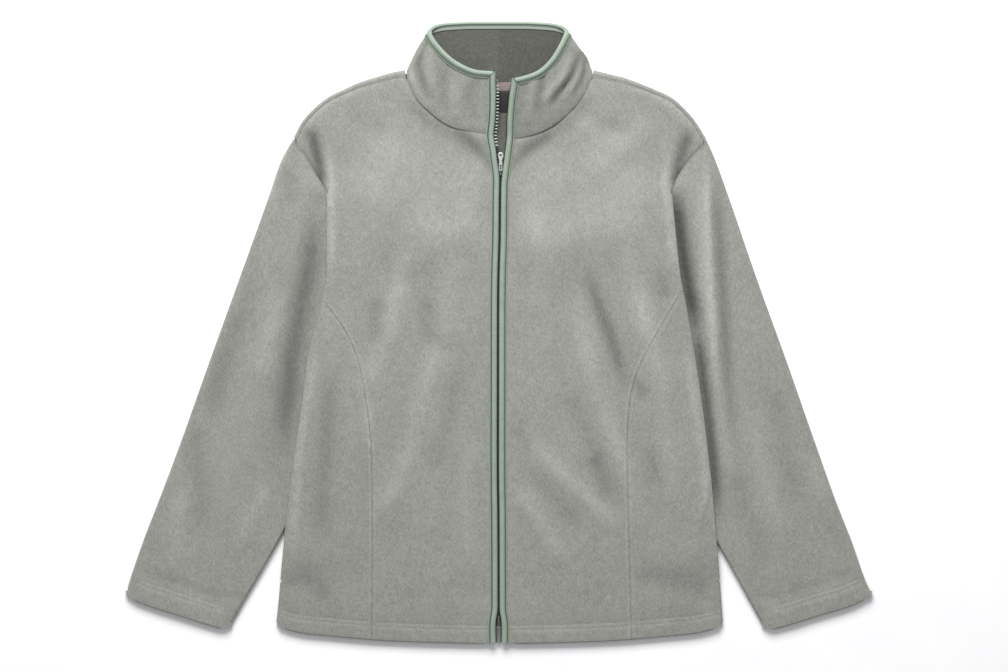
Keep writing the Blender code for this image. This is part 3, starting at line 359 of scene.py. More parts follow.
# Heights of the front along the zip and at the side, and of the sleeve: y, height
CENTRE_LEVEL = [
    (380, 9.0), (235, 8.5), (190, 8.0), (120, 6.0), (-310, 6.0), (-345, 7.3), (-390, 7.3)]
SIDE_LEVEL = [
    (380, 8.0), (300, 7.5), (250, 6.4), (205, 6.2), (150, FRONT_RAISED),
    (-262, FRONT_RAISED), (-305, 8.8), (-352, 7.3), (-390, 7.3)]
SLEEVE_LEVEL = [(260, 6.2), (205, 6.2), (0, 6.5), (-290, 7.6), (-390, 7.6)]
TUCK_RISE = [(260, 0.0), (205, 0.0), (150, 1.0), (-390, 1.0)]
SLEEVE_DROP = (20.0, 62.0)
FRONT_DROP = (12.0, 90.0)

# Outwards from the middle: y, right, left
SIDE_FOLD = [
    (172, 206, 205), (120, 206, 210), (62, 207, 216.5), (35, 211.5, 222),
    (-29, 228, 233), (-89, 236, 242), (-158, 246, 250.5), (-214, 253, 256),
    (-268, 258.5, 260.5), (-330, 264.5, 265.5), (-352, 267, 267)]
ARMHOLE_HIDDEN = [
    (172, 206, 205), (150, 202.5, 201.5), (110, 197, 196), (60, 187, 187),
    (15, 175, 175), (-19, 165, 165)]
SIDE_SEAM_HIDDEN = [
    (-19, 165, 165), (-28, 153, 153), (-89, 176, 176), (-158, 205, 205),
    (-230, 233, 235), (-298, 249, 250)]
TUCK_TOP, TUCK_BOTTOM, SEAM_TAIL_TOP = 150, -298, -28
RETURN_TOP = 166
# Where the front is held up by what is folded under it: y, right, left
RAISED_INSIDE = [
    (172, 206, 205), (110, 197, 196), (60, 187, 187), (15, 176, 176), (-30, 169, 169),
    (-89, 177, 177), (-158, 205, 205), (-230, 233, 235), (-298, 249, 250)]
ZIP_RIMS = [
    (-373, -4.4, 2.4), (-347, -4.4, 2.4), (-334, -2.4, 0.4), (-318, -2.2, 0.2),
    (-214, -2.5, -0.1), (-178, -3.0, -0.6), (-70, -3.0, -0.6), (62, -2.5, -0.1),
    (110, -1.1, 1.3), (158, -0.6, 1.8), (178, -0.2, 2.2), (187, -0.4, 3.2),
    (206, -3.0, 5.6), (218, -4.4, 7.2), (235, -7.0, 9.0), (250, -5.4, 9.2),
    (278, -4.3, 11.4), (300, -4.5, 14.5), (311, -4.6, 15.0)]
RIM_TO_CLOTH = 2.2

# Outlines: x outwards, y
ARMHOLE = {
    "right": [(246, 228.5), (232, 210), (219, 188), (206, 170)],
    "left": [(247, 227.5), (229, 209), (212, 185), (205, 169)]}
SHOULDER_FOLD = {
    "right": [(113.4, 313), (129, 310), (148, 304.5), (167, 298.5), (186, 290), (206, 280),
              (225, 264), (236, 251), (246, 232)],
    "left": [(112.8, 313), (130, 308.5), (149, 304), (168, 297), (188, 289), (207, 279.5),
             (225, 263), (236, 249), (247, 231)]}
SHOULDER_SEAM_INSET = (9.5, 3.6)
NECK_SEAM = {
    "right": [(9, 235), (33.5, 240), (56, 245), (70, 252.5), (86, 265.5), (102.5, 283),
              (111.5, 303)],
    "left": [(11, 231.5), (20.5, 231.5), (48.5, 239), (69, 250.5), (90.5, 270), (105, 291),
             (110.5, 303)]}
PRINCESS_SEAM = {
    "right": [(153, -369), (152.5, -186), (154, -131), (159.5, -80), (170, -29), (186, 5),
              (210, 38)],
    "left": [(158, -368), (154, -214), (152.5, -131), (156.5, -76), (164, -48), (175, -23),
             (192, 7), (217.5, 50)]}
BACK_NECK = [(111.5, 312.5), (95, 310), (50, 301), (0, 298)]
HEM = [(0, -373), (74, -371.5), (139, -369), (204, -363.5), (240, -359.5), (267, -352)]
SLEEVE_OUTER = {
    "right": [(246.5, 230.5), (260, 206.5), (277, 158), (311.5, 62), (346, -33.5),
              (380, -129.5), (407, -201.5), (425.5, -249.5), (442, -297.5), (446.5, -315)],
    "left": [(247.5, 229.5), (257.5, 206.5), (275, 158), (308, 62), (342.5, -33.5),
             (376, -129.5), (401.5, -201.5), (420.5, -249.5), (437.5, -297.5), (446, -315)]}
SLEEVE_INNER = {
    "right": [(165, -19), (210, -135), (257, -233), (279, -273.5), (306.5, -321.5), (323.5, -352)],
    "left": [(165, -19), (205, -135), (261, -250), (274, -273.5), (300.5, -321.5), (317, -352)]}
CUFF = {
    "right": [(323.5, -352), (330, -355), (343, -352), (381, -340), (419, -328), (438, -320.5),
              (446.5, -315)],
    "left": [(317, -352), (323, -355.5), (341, -352), (380, -340), (418, -328.5), (437, -320),
             (446, -315)]}
# The collar's top edge: share of the way round (0 zip, 1 neck point, 2 turned, 3 mid back), x, y, z
COLLAR_TOP = {
    "right": [(0, 6.6, 308.5, 20), (0.27, 31, 311, 20), (0.48, 54.5, 322.5, 19.5),
              (0.74, 72, 339, 17.5), (0.92, 81, 352, 14), (1.2, 83, 358.5, 10.5),
              (1.6, 80, 363.5, 6.7), (2.0, 72, 367, 3.8), (2.4, 45, 369.5, 2.7),
              (3.0, 0, 370, 2.5)],
    "left": [(0, 17, 300.5, 20), (0.12, 27, 302.5, 20), (0.38, 47, 310, 19.8),
             (0.6, 62, 324, 19), (0.8, 73.5, 343, 16), (0.95, 78, 353, 13),
             (1.2, 79.5, 358.5, 10.2), (1.6, 76.5, 363.5, 6.7), (2.0, 68, 367, 3.8),
             (2.4, 42, 369.5, 2.7), (3.0, 0, 370, 2.5)]}
# The collar's foot where it turns from front to back: x, y, share of the front's height
COLLAR_TURN = [
    (110.2, 304.5, 1.0), (110.4, 309.5, 0.8), (110.0, 313.0, 0.47), (107.5, 314.6, 0.14),
    (102.0, 313.2, 0.0)]
COLLAR_BULGE = 2.5
print("cut:", len(SIDE_FOLD) + len(ZIP_RIMS), "rows of side and zip,", len(COLLAR_TOP["left"]), "of collar")

# %% [markdown]
# ## Curves through the outlines
# A centripetal Catmull-Rom curve goes through every point without loops, even where the
# points stand unevenly. Walking along it in equal steps gives the edge of a panel.

# %% Helpers for curves
def smooth(t):
    """0 to 1 with level ends."""
    t = np.clip(t, 0.0, 1.0)
    return t * t * (3 - 2 * t)


def level(rows, y):
    """The value at y in rows of (y, value), eased from row to row."""
    ys, values = np.array(sorted(rows), float).T
    i = np.clip(np.searchsorted(ys, y) - 1, 0, len(ys) - 2)
    return values[i] + (values[i + 1] - values[i]) * smooth((y - ys[i]) / (ys[i + 1] - ys[i]))


def path(points, step):
    """A smooth path through the points, read about every step."""
    known = np.array(points, float)
    ends = np.vstack([2 * known[0] - known[1], known, 2 * known[-1] - known[-2]])
    dense = [known[0]]
    for i in range(len(known) - 1):
        p = ends[i:i + 4]
        knots = np.concatenate([[0], np.cumsum(np.sqrt(np.linalg.norm(np.diff(p, axis=0), axis=1)))])
        for t in np.linspace(knots[1], knots[2], 13)[1:]:
            a = [((knots[k + 1] - t) * p[k] + (t - knots[k]) * p[k + 1])
                 / (knots[k + 1] - knots[k]) for k in range(3)]
            b = [((knots[k + 2] - t) * a[k] + (t - knots[k]) * a[k + 1])
                 / (knots[k + 2] - knots[k]) for k in range(2)]
            dense.append(((knots[2] - t) * b[0] + (t - knots[1]) * b[1]) / (knots[2] - knots[1]))
    return walked(np.array(dense), step)


def walked(line, step):
    """The same line with points about every step along it."""
    along = np.concatenate([[0], np.cumsum(np.linalg.norm(np.diff(line, axis=0), axis=1))])
    wanted = np.linspace(0, along[-1], max(2, round(along[-1] / step) + 1))
    return np.column_stack([np.interp(wanted, along, line[:, k]) for k in range(line.shape[1])])


def across(line):
    """Unit vectors to the right of a flat line's direction."""
    way = np.gradient(line[:, :2], axis=0)
    way /= np.linalg.norm(way, axis=1)[:, None]
    return np.column_stack([way[:, 1], -way[:, 0]])


def inset_line(line, amount):
    """The line moved to the left of its direction; amount is a number or one for each point."""
    move = np.broadcast_to(np.asarray(amount, float), (len(line),))
    return line - across(line) * move[:, None]


def smooth_table(rows, side):
    """A function of y that runs smoothly through one side's column."""
    pick = 1 if side == "right" else 2
    line = path([(row[pick], row[0]) for row in sorted(rows)], 2.0)
    return lambda y: np.interp(y, line[:, 1], line[:, 0])


side_fold = {side: smooth_table(SIDE_FOLD, side) for side in SIDES}
armhole_hidden = {side: smooth_table(ARMHOLE_HIDDEN, side) for side in SIDES}
side_seam_hidden = {side: smooth_table(SIDE_SEAM_HIDDEN, side) for side in SIDES}
raised_inside = {side: smooth_table(RAISED_INSIDE, side) for side in SIDES}
rim_face = {side: smooth_table(ZIP_RIMS, side) for side in SIDES}
print("side fold at the chest:", [round(float(side_fold[s](0)), 1) for s in SIDES], "mm out")

# %% [markdown]
# ## Seams, folds and creases
# Cloth that has been handled is never flat. Three things shape this one: the seams pull it
# down into a soft ditch, the twin needles press two finer lines beside them, and a few wide
# soft creases run where the jacket was folded and worn. The creases are listed in the
# table: a ridge has a positive height and a trough a negative one.

# %% Creases and seam lines
# part, side, height, half width, course as (x outwards, y)
CREASES = [
    ("front", "right", 2.4, 13, [(112, 72), (130, 20), (146, -40), (154, -90)]),
    ("front", "right", 3.0, 13, [(66, 0), (88, -70), (112, -160), (132, -205), (156, -246)]),
    ("front", "right", 1.6, 11, [(100, 112), (116, 70), (118, 30), (130, -30)]),
    ("front", "right", -1.8, 13, [(46, -40), (66, -120), (84, -190)]),
    ("front", "right", -1.6, 8, [(226, 256), (219, 218), (213, 190), (208, 160)]),
    ("front", "right", -2.6, 13, [(112, 288), (96, 262), (64, 240), (10, 204)]),
    ("front", "right", 2.0, 20, [(196, 258), (150, 228), (108, 186)]),
    ("front", "right", -1.6, 14, [(262, -286), (232, -304), (196, -324)]),
    ("front", "right", 1.8, 14, [(40, 96), (58, 40), (62, -24)]),
    ("front", "right", 1.6, 12, [(20, -110), (36, -170), (40, -240), (28, -310)]),
    ("front", "left", 2.2, 12, [(150, 110), (162, 50), (184, -26)]),
    ("front", "left", 2.8, 12, [(86, 50), (104, -30), (130, -118), (158, -212)]),
    ("front", "left", 2.8, 12, [(20, -112), (58, -156), (102, -200), (154, -246)]),
    ("front", "left", 2.4, 11, [(18, -184), (46, -230), (80, -286)]),
    ("front", "left", -2.0, 10, [(100, 84), (122, 24), (148, -62)]),
    ("front", "left", -1.8, 11, [(76, -70), (100, -120), (124, -180)]),
    ("front", "left", -1.6, 11, [(28, -160), (64, -204), (104, -246)]),
    ("front", "left", -1.8, 8, [(226, 252), (218, 215), (212, 190), (207, 162)]),
    ("front", "left", -2.6, 13, [(112, 289), (96, 264), (62, 238), (12, 204)]),
    ("front", "left", 2.2, 18, [(190, 254), (146, 224), (104, 182)]),
    ("front", "left", 1.4, 12, [(66, 268), (118, 236), (168, 206)]),
    ("front", "left", -1.8, 14, [(156, -290), (206, -302), (262, -318)]),
    ("front", "left", 1.6, 14, [(36, 150), (50, 80), (48, 10)]),
    ("front", "left", 1.6, 12, [(190, -40), (202, -130), (212, -224)]),
    ("sleeve", "right", -1.8, 12, [(366, -100), (362, -175), (352, -256)]),
    ("sleeve", "right", 1.8, 12, [(262, 60), (276, -10), (290, -70)]),
    ("sleeve", "right", 1.8, 12, [(374, -186), (388, -250), (394, -304)]),
    ("sleeve", "right", -1.5, 14, [(306, 40), (334, -50), (350, -120)]),
    ("sleeve", "right", 1.8, 10, [(274, -178), (296, -226), (318, -270)]),
    ("sleeve", "left", -1.8, 12, [(330, -56), (344, -140), (354, -220)]),
    ("sleeve", "left", 2.4, 9, [(244, 200), (249, 120), (254, 40), (262, -40)]),
    ("sleeve", "left", -2.0, 9, [(258, 190), (263, 110), (267, 20), (272, -90)]),
    ("sleeve", "left", 2.0, 12, [(298, -100), (322, -190), (346, -268)]),
    ("sleeve", "left", -1.5, 12, [(272, -160), (300, -230), (322, -292)]),
    ("sleeve", "left", 1.8, 11, [(372, -140), (392, -222), (406, -294)]),
]
# Painted light and shade away from the creases, pale highlights and dark shadows such as
# where the body's fold shades each sleeve: same columns, with a tone from -1 to 1 in place of the height
PAINTED_LIGHT_STROKES = [
    ("sleeve", "right", -2.0, 13, [(214, 172), (222, 130), (228, 80), (236, 40), (244, 0), (250, -50),
                                   (255, -100), (259, -160)]),
    ("sleeve", "right", -0.8, 24, [(216, 160), (230, 62), (250, -29), (264, -130), (272, -220)]),
    ("sleeve", "right", -0.8, 12, [(284, 100), (298, 50), (318, -12), (336, -66), (346, -130)]),
    ("sleeve", "right", -0.8, 9, [(258, 206), (252, 180), (248, 150)]),
    ("sleeve", "right", 0.7, 12, [(266, 30), (276, -20), (280, -60)]),
    ("sleeve", "right", 1.2, 5, [(250, 224), (262, 202), (280, 152)]),
    ("sleeve", "left", -4.6, 11, [(204, 184), (211, 150), (217, 110), (223, 70), (230, 30), (238, -10)]),
    ("sleeve", "left", -4.0, 8, [(230, 30), (240, -29), (248, -90), (255, -150), (261, -240)]),
    ("sleeve", "left", -1.3, 8, [(257, 204), (261, 150), (265, 90), (269, 20), (273, -50), (280, -160)]),
    ("sleeve", "left", 1.0, 9, [(236, 190), (242, 120), (247, 60), (256, 0), (266, -120), (280, -190)]),
    ("sleeve", "left", 2.4, 3.4, [(247, 226), (249, 140), (252, 60), (255, 0), (262, -80)]),
    ("sleeve", "left", -0.8, 12, [(384, -190), (394, -230), (404, -270)]),
    ("front", "right", -3.0, 7.5, [(228, 252), (221, 222), (214, 190), (210, 168)]),
    ("front", "left", -2.6, 8, [(228, 248), (219, 216), (212, 190), (207, 168)]),
    ("front", "right", 2.0, 5, [(204, 230), (202, 184), (201, 120), (201, 60)]),
    ("front", "right", 1.2, 5, [(216, 0), (226, -60), (237, -130), (243, -200), (250, -280)]),
    ("front", "left", 1.4, 5, [(201, 230), (198, 188), (204, 120), (211, 62)]),
    ("front", "left", 1.4, 5, [(219, 0), (229, -60), (241, -140), (248, -220)]),
    ("front", "right", 1.3, 5, [(150, 300), (190, 284), (226, 258), (240, 238)]),
    ("front", "left", 1.3, 5, [(150, 300), (190, 282), (226, 256), (240, 238)]),
    ("front", "right", -0.5, 13, [(112, 284), (92, 256), (60, 232), (8, 196)]),
    ("front", "left", -0.5, 13, [(112, 284), (92, 258), (60, 230), (12, 196)]),
    ("front", "right", -1.7, 7, [(60, 248), (40, 234), (22, 216), (8, 194), (4, 180)]),
    ("front", "left", -1.7, 7, [(74, 240), (46, 228), (26, 212), (12, 192), (8, 178)]),
    ("front", "right", 0.8, 44, [(0, 150), (70, 176), (140, 190), (190, 200)]),
    ("front", "left", 0.9, 44, [(0, 150), (70, 172), (140, 190), (190, 196)]),
    ("front", "right", 0.8, 24, [(4, 142), (60, 130), (120, 150)]),
    ("front", "left", 1.0, 24, [(4, 150), (60, 126), (130, 140), (190, 124)]),
    ("front", "right", -1.3, 18, [(190, 262), (160, 250), (128, 242)]),
    ("front", "left", -0.9, 14, [(108, 244), (140, 246), (168, 240)]),
    ("front", "right", -0.5, 30, [(0, 76), (90, 82), (180, 104)]),
    ("front", "left", -0.5, 30, [(0, 72), (90, 82), (180, 100)]),
    ("front", "right", -1.3, 12, [(200, -30), (206, -110), (211, -190), (216, -262)]),
    ("front", "right", -1.1, 11, [(146, 50), (146, 10), (152, -20)]),
    ("front", "right", -1.1, 11, [(82, 50), (88, 20), (84, -20)]),
    ("front", "right", 0.6, 8, [(156, -60), (156, -110), (154, -150)]),
    ("front", "right", 0.6, 12, [(76, -70), (78, -100), (74, -130)]),
    ("front", "left", -1.7, 8, [(100, 76), (116, 36), (134, -8), (146, -50), (150, -80)]),
    ("front", "left", -1.0, 10, [(188, 84), (195, 60), (198, 36)]),
    ("front", "left", -1.3, 8, [(158, -48), (168, -66), (182, -76)]),
    ("front", "left", 1.2, 12, [(168, 64), (174, 10), (184, -28), (202, -66)]),
    ("front", "left", -1.3, 10, [(110, -140), (122, -170), (132, -204)]),
    ("front", "left", -0.8, 9, [(14, -108), (28, -126), (44, -146)]),
    ("front", "left", -0.8, 10, [(176, -130), (184, -160), (190, -190)]),
    ("front", "left", 0.7, 9, [(128, -80), (142, -126), (160, -196), (172, -240)]),
    ("front", "right", -0.4, 26, [(10, -335), (100, -338), (250, -330)]),
    ("front", "left", -0.4, 26, [(10, -335), (100, -338), (250, -330)]),
]
TWIN_NEEDLE = 2.75              # from the seam to each row of stitches
HEM_ROWS = (20.5, 15.5)         # from the hem to its two rows of stitches
CUFF_ROWS = (25.0, 20.0)
SEAM_DITCH = (0.7, 2.4)         # depth and half width where two panels meet
STITCH_DITCH = (0.4, 1.0)
PRINCESS_RIDGE = (0.45, 1.6)    # the two rows of stitches leave a ridge along the princess seam
PRINCESS_GAP = 0.06
COURSE_FADE = 0.24              # the share of a crease's length over which each end fades


def princess_line(side, keep, step=FINE):
    """The princess seam from the hem up, to where it is this far from the side fold."""
    dense = path(PRINCESS_SEAM[side], 1.0)
    gap = side_fold[side](dense[:, 1]) - RETURN_RADIUS - dense[:, 0]
    return walked(dense[gap > keep], step)


def hem_line(x_from, x_to, step=FINE, above=0.0):
    """The hem between two distances from the middle, set in by its turn."""
    line = path(HEM, 2.0)
    wanted = np.linspace(x_from, x_to, max(3, round(abs(x_to - x_from) / step) + 1))
    return np.column_stack([wanted, np.interp(wanted, line[:, 0], line[:, 1]) + HEM_RADIUS + above])


def shoulder_seam(side, step=FINE):
    """The seam where the front meets the back's wrap, inside the shoulder's fold."""
    fold = path(SHOULDER_FOLD[side], step)
    first, last = SHOULDER_SEAM_INSET
    share = np.linspace(0, 1, len(fold)) ** 0.5
    return fold + across(fold) * (first + (last - first) * share)[:, None]


def cuff_row(side, above, step=FINE):
    """A line over the sleeve, parallel to the cuff and this far above it."""
    cuff = path(CUFF[side], step)
    return inset_line(cuff, above)[cuff[:, 0] < CUFF[side][-1][0] - 4]


SEAM_LINES = {side: [path(ARMHOLE[side], FINE), path(NECK_SEAM[side], FINE), shoulder_seam(side)]
              for side in SIDES}
STITCH_LINES = {
    side: [inset_line(princess_line(side, 6.0), off) for off in (-TWIN_NEEDLE, TWIN_NEEDLE)]
    + [hem_line(14.0, 262.0, above=row - HEM_RADIUS) for row in HEM_ROWS] for side in SIDES}
CUFF_LINES = {side: [cuff_row(side, row) for row in CUFF_ROWS] for side in SIDES}
print(len(CREASES), "creases,", sum(len(v) for v in SEAM_LINES.values()), "seams")

# %% Heights of the cloth
def gap_to(lines):
    """A function that gives each point's distance to the nearest of these lines."""
    points = np.vstack([walked(line, 0.8) for line in lines])
    tree = KDTree(len(points))
    for i, (x, y) in enumerate(points):
        tree.insert((x, y, 0.0), i)
    tree.balance()
    return lambda x, y: np.array([tree.find((a, b, 0.0))[2] for a, b in zip(x, y)])


def ditch(gap, shape):
    depth, width = shape
    return depth * np.exp(-(gap / width) ** 2)


def along_courses(table, part, side, x, y):
    """The sum of soft bands along a table's courses: heights of creases, or tones of painted light and shade.
    """
    total = np.zeros(len(x))
    for owner, where, height, width, course in table:
        if (owner, where) != (part, side):
            continue
        line = path(course, 5.0)
        gaps = np.hypot(x[:, None] - line[:, 0], y[:, None] - line[:, 1])
        share = gaps.argmin(axis=1) / (len(line) - 1)
        fade = smooth(np.minimum(share, 1 - share) / COURSE_FADE)
        total += height * fade * np.exp(-(gaps.min(axis=1) / width) ** 2)
    return total


def painted_light_tone(part, side, points):
    """Painted light and shade at each point of a sheet: pale on ridges, dark in troughs, darker along the
    armhole seam as painted shade, paler along the stitch rows.
    """
    x, y = np.array(points)[:, 0], np.array(points)[:, 1]
    tone = along_courses(CREASES, part, side, x, y) * 0.34 + along_courses(PAINTED_LIGHT_STROKES, part, side, x, y)
    # Painted shade: a dark line along the armhole seam.
    tone -= 1.6 * np.exp(-(armhole_gap[side](x, y) / 1.8) ** 2)
    rows = stitch_gap[side](x, y) if part == "front" else cuff_gap[side](x, y)
    return np.clip(tone + 0.8 * np.exp(-(rows / 1.1) ** 2), -4.8, 2.4)


def lumps(x, y, seed):
    """The small unevenness of soft cloth that lies by its own weight."""
    return np.array([0.45 * noise.noise((a / 46, b / 60, seed))
                     + 0.20 * noise.noise((a / 17, b / 21, seed + 5)) for a, b in zip(x, y)])


def front_base(side, x, y):
    """Height of the front's middle, x outwards, before creases; as in the frame."""
    inside = np.minimum(side_fold[side](y), raised_inside[side](y)) - x
    start, run = FRONT_DROP
    centre = level(CENTRE_LEVEL, y)
    return centre + (level(SIDE_LEVEL, y) - centre) * (1 - smooth((inside - start) / run))


def sleeve_bases(side, x, y):
    """Heights of the sleeve's front and back middles before creases; as in the frame."""
    outside = x - side_fold[side](y)
    start, end = SLEEVE_DROP
    rise = level(TUCK_RISE, y) * (1 - smooth((outside - start) / (end - start)))
    lying = level(SLEEVE_LEVEL, y)
    return lying + (SLEEVE_FRONT_RAISED - lying) * rise, BACK + (SLEEVE_BACK_RAISED - BACK) * rise


seam_gap = {side: gap_to(SEAM_LINES[side]) for side in SIDES}
stitch_gap = {side: gap_to(STITCH_LINES[side]) for side in SIDES}
princess_gap = {side: gap_to([princess_line(side, 0.8)]) for side in SIDES}
armhole_gap = {side: gap_to([path(ARMHOLE[side], FINE)]) for side in SIDES}
cuff_gap = {side: gap_to(CUFF_LINES[side]) for side in SIDES}
EDGE_CALM = 16.0     # creases and lumps fade out this near the zip, the side fold and the hem
HEM_CURVE = path(HEM, 2.0)
POCKET_MOUTH = [(251, -176), (248, -199), (239, -227), (236, -262)]   # in the left side front
POCKET_RIDGE = (1.0, 3.0)
POCKET_DITCH = (0.4, 1.6)
pocket_gap = gap_to([path(POCKET_MOUTH, FINE)])
pocket_ditch_gap = gap_to([inset_line(path(POCKET_MOUTH, FINE), 4.5)])
cuff_edge_gap = {side: gap_to([path(CUFF[side], FINE)]) for side in SIDES}


def hem_y(x):
    return np.interp(x, HEM_CURVE[:, 0], HEM_CURVE[:, 1]) + HEM_RADIUS


def tucked(side, x, y):
    """1 where the side's return lies under the front, 0 away from it."""
    inner = np.where(y > ARMHOLE_HIDDEN[-1][0], armhole_hidden[side](y), side_seam_hidden[side](y))
    between = smooth((TUCK_TOP + 8 - y) / 10) * smooth((y - TUCK_BOTTOM + 8) / 10)
    return smooth((x - inner + 12) / 10) * between


def front_height(side, x, y):
    """Height of the front's middle with its creases, seam ditches and stitch lines."""
    x, y = np.atleast_1d(np.asarray(x, float)), np.atleast_1d(np.asarray(y, float))
    above_hem = y - hem_y(x)
    calm = smooth((x - 4) / EDGE_CALM) * smooth((side_fold[side](y) - x) / EDGE_CALM)
    calm *= smooth((above_hem + 4) / EDGE_CALM)
    soft = (along_courses(CREASES, "front", side, x, y) + lumps(x * SIDES[side], y, 3.0)) * calm
    room = 0.25 + 2.2 * smooth((above_hem - HEM_TURN) / 20) * (1 - 0.95 * tucked(side, x, y))
    soft = np.maximum(soft, -room)
    if side == "left":
        soft += ditch(pocket_gap(x, y), POCKET_RIDGE) - ditch(pocket_ditch_gap(x, y), POCKET_DITCH)
    dips = ditch(seam_gap[side](x, y), SEAM_DITCH) + ditch(stitch_gap[side](x, y), STITCH_DITCH)
    dips -= ditch(princess_gap[side](x, y), PRINCESS_RIDGE)
    return front_base(side, x, y) + soft - dips * (1 - 0.45 * tucked(side, x, y))


CUFF_TROUGH = (0.9, 6.0, 34.0)      # depth, half width, distance above the cuff
ARMHOLE_LIFT = 18.0                 # how far from the armhole the sleeve is held up by the front


def sleeve_front_height(side, x, y):
    """Height of the sleeve's upper layer with its creases and stitch lines."""
    x, y = np.atleast_1d(np.asarray(x, float)), np.atleast_1d(np.asarray(y, float))
    top, _ = sleeve_bases(side, x, y)
    outer, inner = path(SLEEVE_OUTER[side], 6.0), path(SLEEVE_INNER[side], 6.0)
    low, high = (np.interp(y, line[::-1, 1], line[::-1, 0]) for line in (inner, outer))
    calm = smooth((high - x) / EDGE_CALM) * smooth((x - low) / EDGE_CALM)
    calm *= smooth((x - side_fold[side](y) + 4) / 10)
    above_cuff = cuff_edge_gap[side](x, y)
    depth, width, middle = CUFF_TROUGH
    soft = along_courses(CREASES, "sleeve", side, x, y) + lumps(x * SIDES[side], y, 11.0)
    soft -= depth * np.exp(-((above_cuff - middle) / width) ** 2)
    soft = np.maximum(soft * calm, -0.3 - 2.2 * smooth((above_cuff - CUFF_TURN) / 10))
    dips = ditch(cuff_gap[side](x, y), STITCH_DITCH)
    near_body = y > ARMHOLE[side][-1][1] - 6
    lift = 0.8 * smooth((y - TUCK_TOP) / 24) * np.exp(-(seam_gap[side](x, y) / ARMHOLE_LIFT) ** 2)
    top = top + (front_base(side, x, y) - top) * lift
    dips += np.where(near_body, ditch(seam_gap[side](x, y), SEAM_DITCH), 0.0)
    return top + soft - dips


print("front height beside the zip:", round(float(front_height("left", 20, 0)[0]), 2), "mm")

# %% [markdown]
# ## Sheets of cloth
# Each cut piece is one sheet. Its outline is filled with an even lattice of triangles, finer
# in rows beside seams so that a ditch two millimetres wide has points to bend at. Where an
# edge turns over, a strip is sewn to it. Solidify then gives the middle surface the thickness
# of the cloth, half to each side.

# %% Helpers for sheets
def inside(points, outline):
    """Which of the points are inside a closed outline."""
    a, b = outline, np.roll(outline, -1, axis=0)
    crossed = (a[None, :, 1] > points[:, 1, None]) != (b[None, :, 1] > points[:, 1, None])
    rise = np.where(b[:, 1] == a[:, 1], 1e-9, b[:, 1] - a[:, 1])
    meet = a[None, :, 0] + (points[:, 1, None] - a[None, :, 1]) * (b - a)[None, :, 0] / rise
    return (crossed & (points[:, 0, None] < meet)).sum(axis=1) % 2 == 1


def clear_of(points, others, gap):
    """The points that are further than gap from all the others."""
    tree = KDTree(len(others))
    for i, (x, y) in enumerate(others):
        tree.insert((x, y, 0.0), i)
    tree.balance()
    return points[[tree.find((x, y, 0.0))[2] > gap for x, y in points]]


class Sheet:
    """A middle surface: points and the faces between them. x is outwards until mirrored."""

    def __init__(self):
        self.points = []
        self.faces = []

    def fill(self, outline, height, step, rows=()):
        """Fills an outline with triangles; gives the outline's point numbers."""
        outline = np.array(outline, float)
        low, high = outline.min(axis=0), outline.max(axis=0)
        lattice = []
        for number, y in enumerate(np.arange(low[1], high[1], step * math.sqrt(3) / 2)):
            xs = np.arange(low[0] + step / 2 * (number % 2), high[0], step)
            lattice.append(np.column_stack([xs, np.full(len(xs), y)]))
        lattice = np.vstack(lattice)
        fixed = outline
        for row in rows:
            row = clear_of(row[inside(row, outline)], fixed, 0.8)
            fixed = np.vstack([fixed, row]) if len(row) else fixed
        lattice = clear_of(lattice[inside(lattice, outline)], fixed, 0.55 * step)
        loop = list(range(len(outline)))
        found = delaunay_2d_cdt([tuple(p) for p in np.vstack([fixed, lattice])], [], [loop], 1, 1e-5)
        first = len(self.points)
        flat = np.array([tuple(p) for p in found[0]])
        self.points += [(x, y, z) for (x, y), z in zip(flat, height(flat[:, 0], flat[:, 1]))]
        self.faces += [tuple(first + i for i in face) for face in found[2]]
        where = {source: first + new for new, olds in enumerate(found[3]) for source in olds}
        return [where[i] for i in loop]

    def strip(self, edge, profiles):
        """Sews a strip to a row of edge points: each has a profile, a list of points."""
        previous = list(edge)
        for k in range(len(profiles[0])):
            row = list(range(len(self.points), len(self.points) + len(profiles)))
            self.points += [tuple(float(v) for v in profile[k]) for profile in profiles]
            self.faces += [(previous[i], previous[i + 1], row[i + 1], row[i])
                           for i in range(len(row) - 1)]
            previous = row
        return previous


def new_mesh(name, points, faces, mirror=1):
    """An object at the origin from points in mm, its faces all turned one way."""
    mesh = bpy.data.meshes.new(name)
    mesh.from_pydata([(x * mirror * MM, y * MM, z * MM) for x, y, z in points], [], faces)
    piece = bpy.data.objects.new(name, mesh)
    bpy.context.scene.collection.objects.link(piece)
    pick(piece)
    bpy.ops.object.mode_set(mode="EDIT")
    bpy.ops.mesh.select_all(action="SELECT")
    bpy.ops.mesh.normals_make_consistent(inside=False)
    bpy.ops.object.mode_set(mode="OBJECT")
    return piece


def pick(piece):
    """Makes this the only selected object and the active one."""
    bpy.ops.object.select_all(action="DESELECT")
    piece.select_set(True)
    bpy.context.view_layer.objects.active = piece


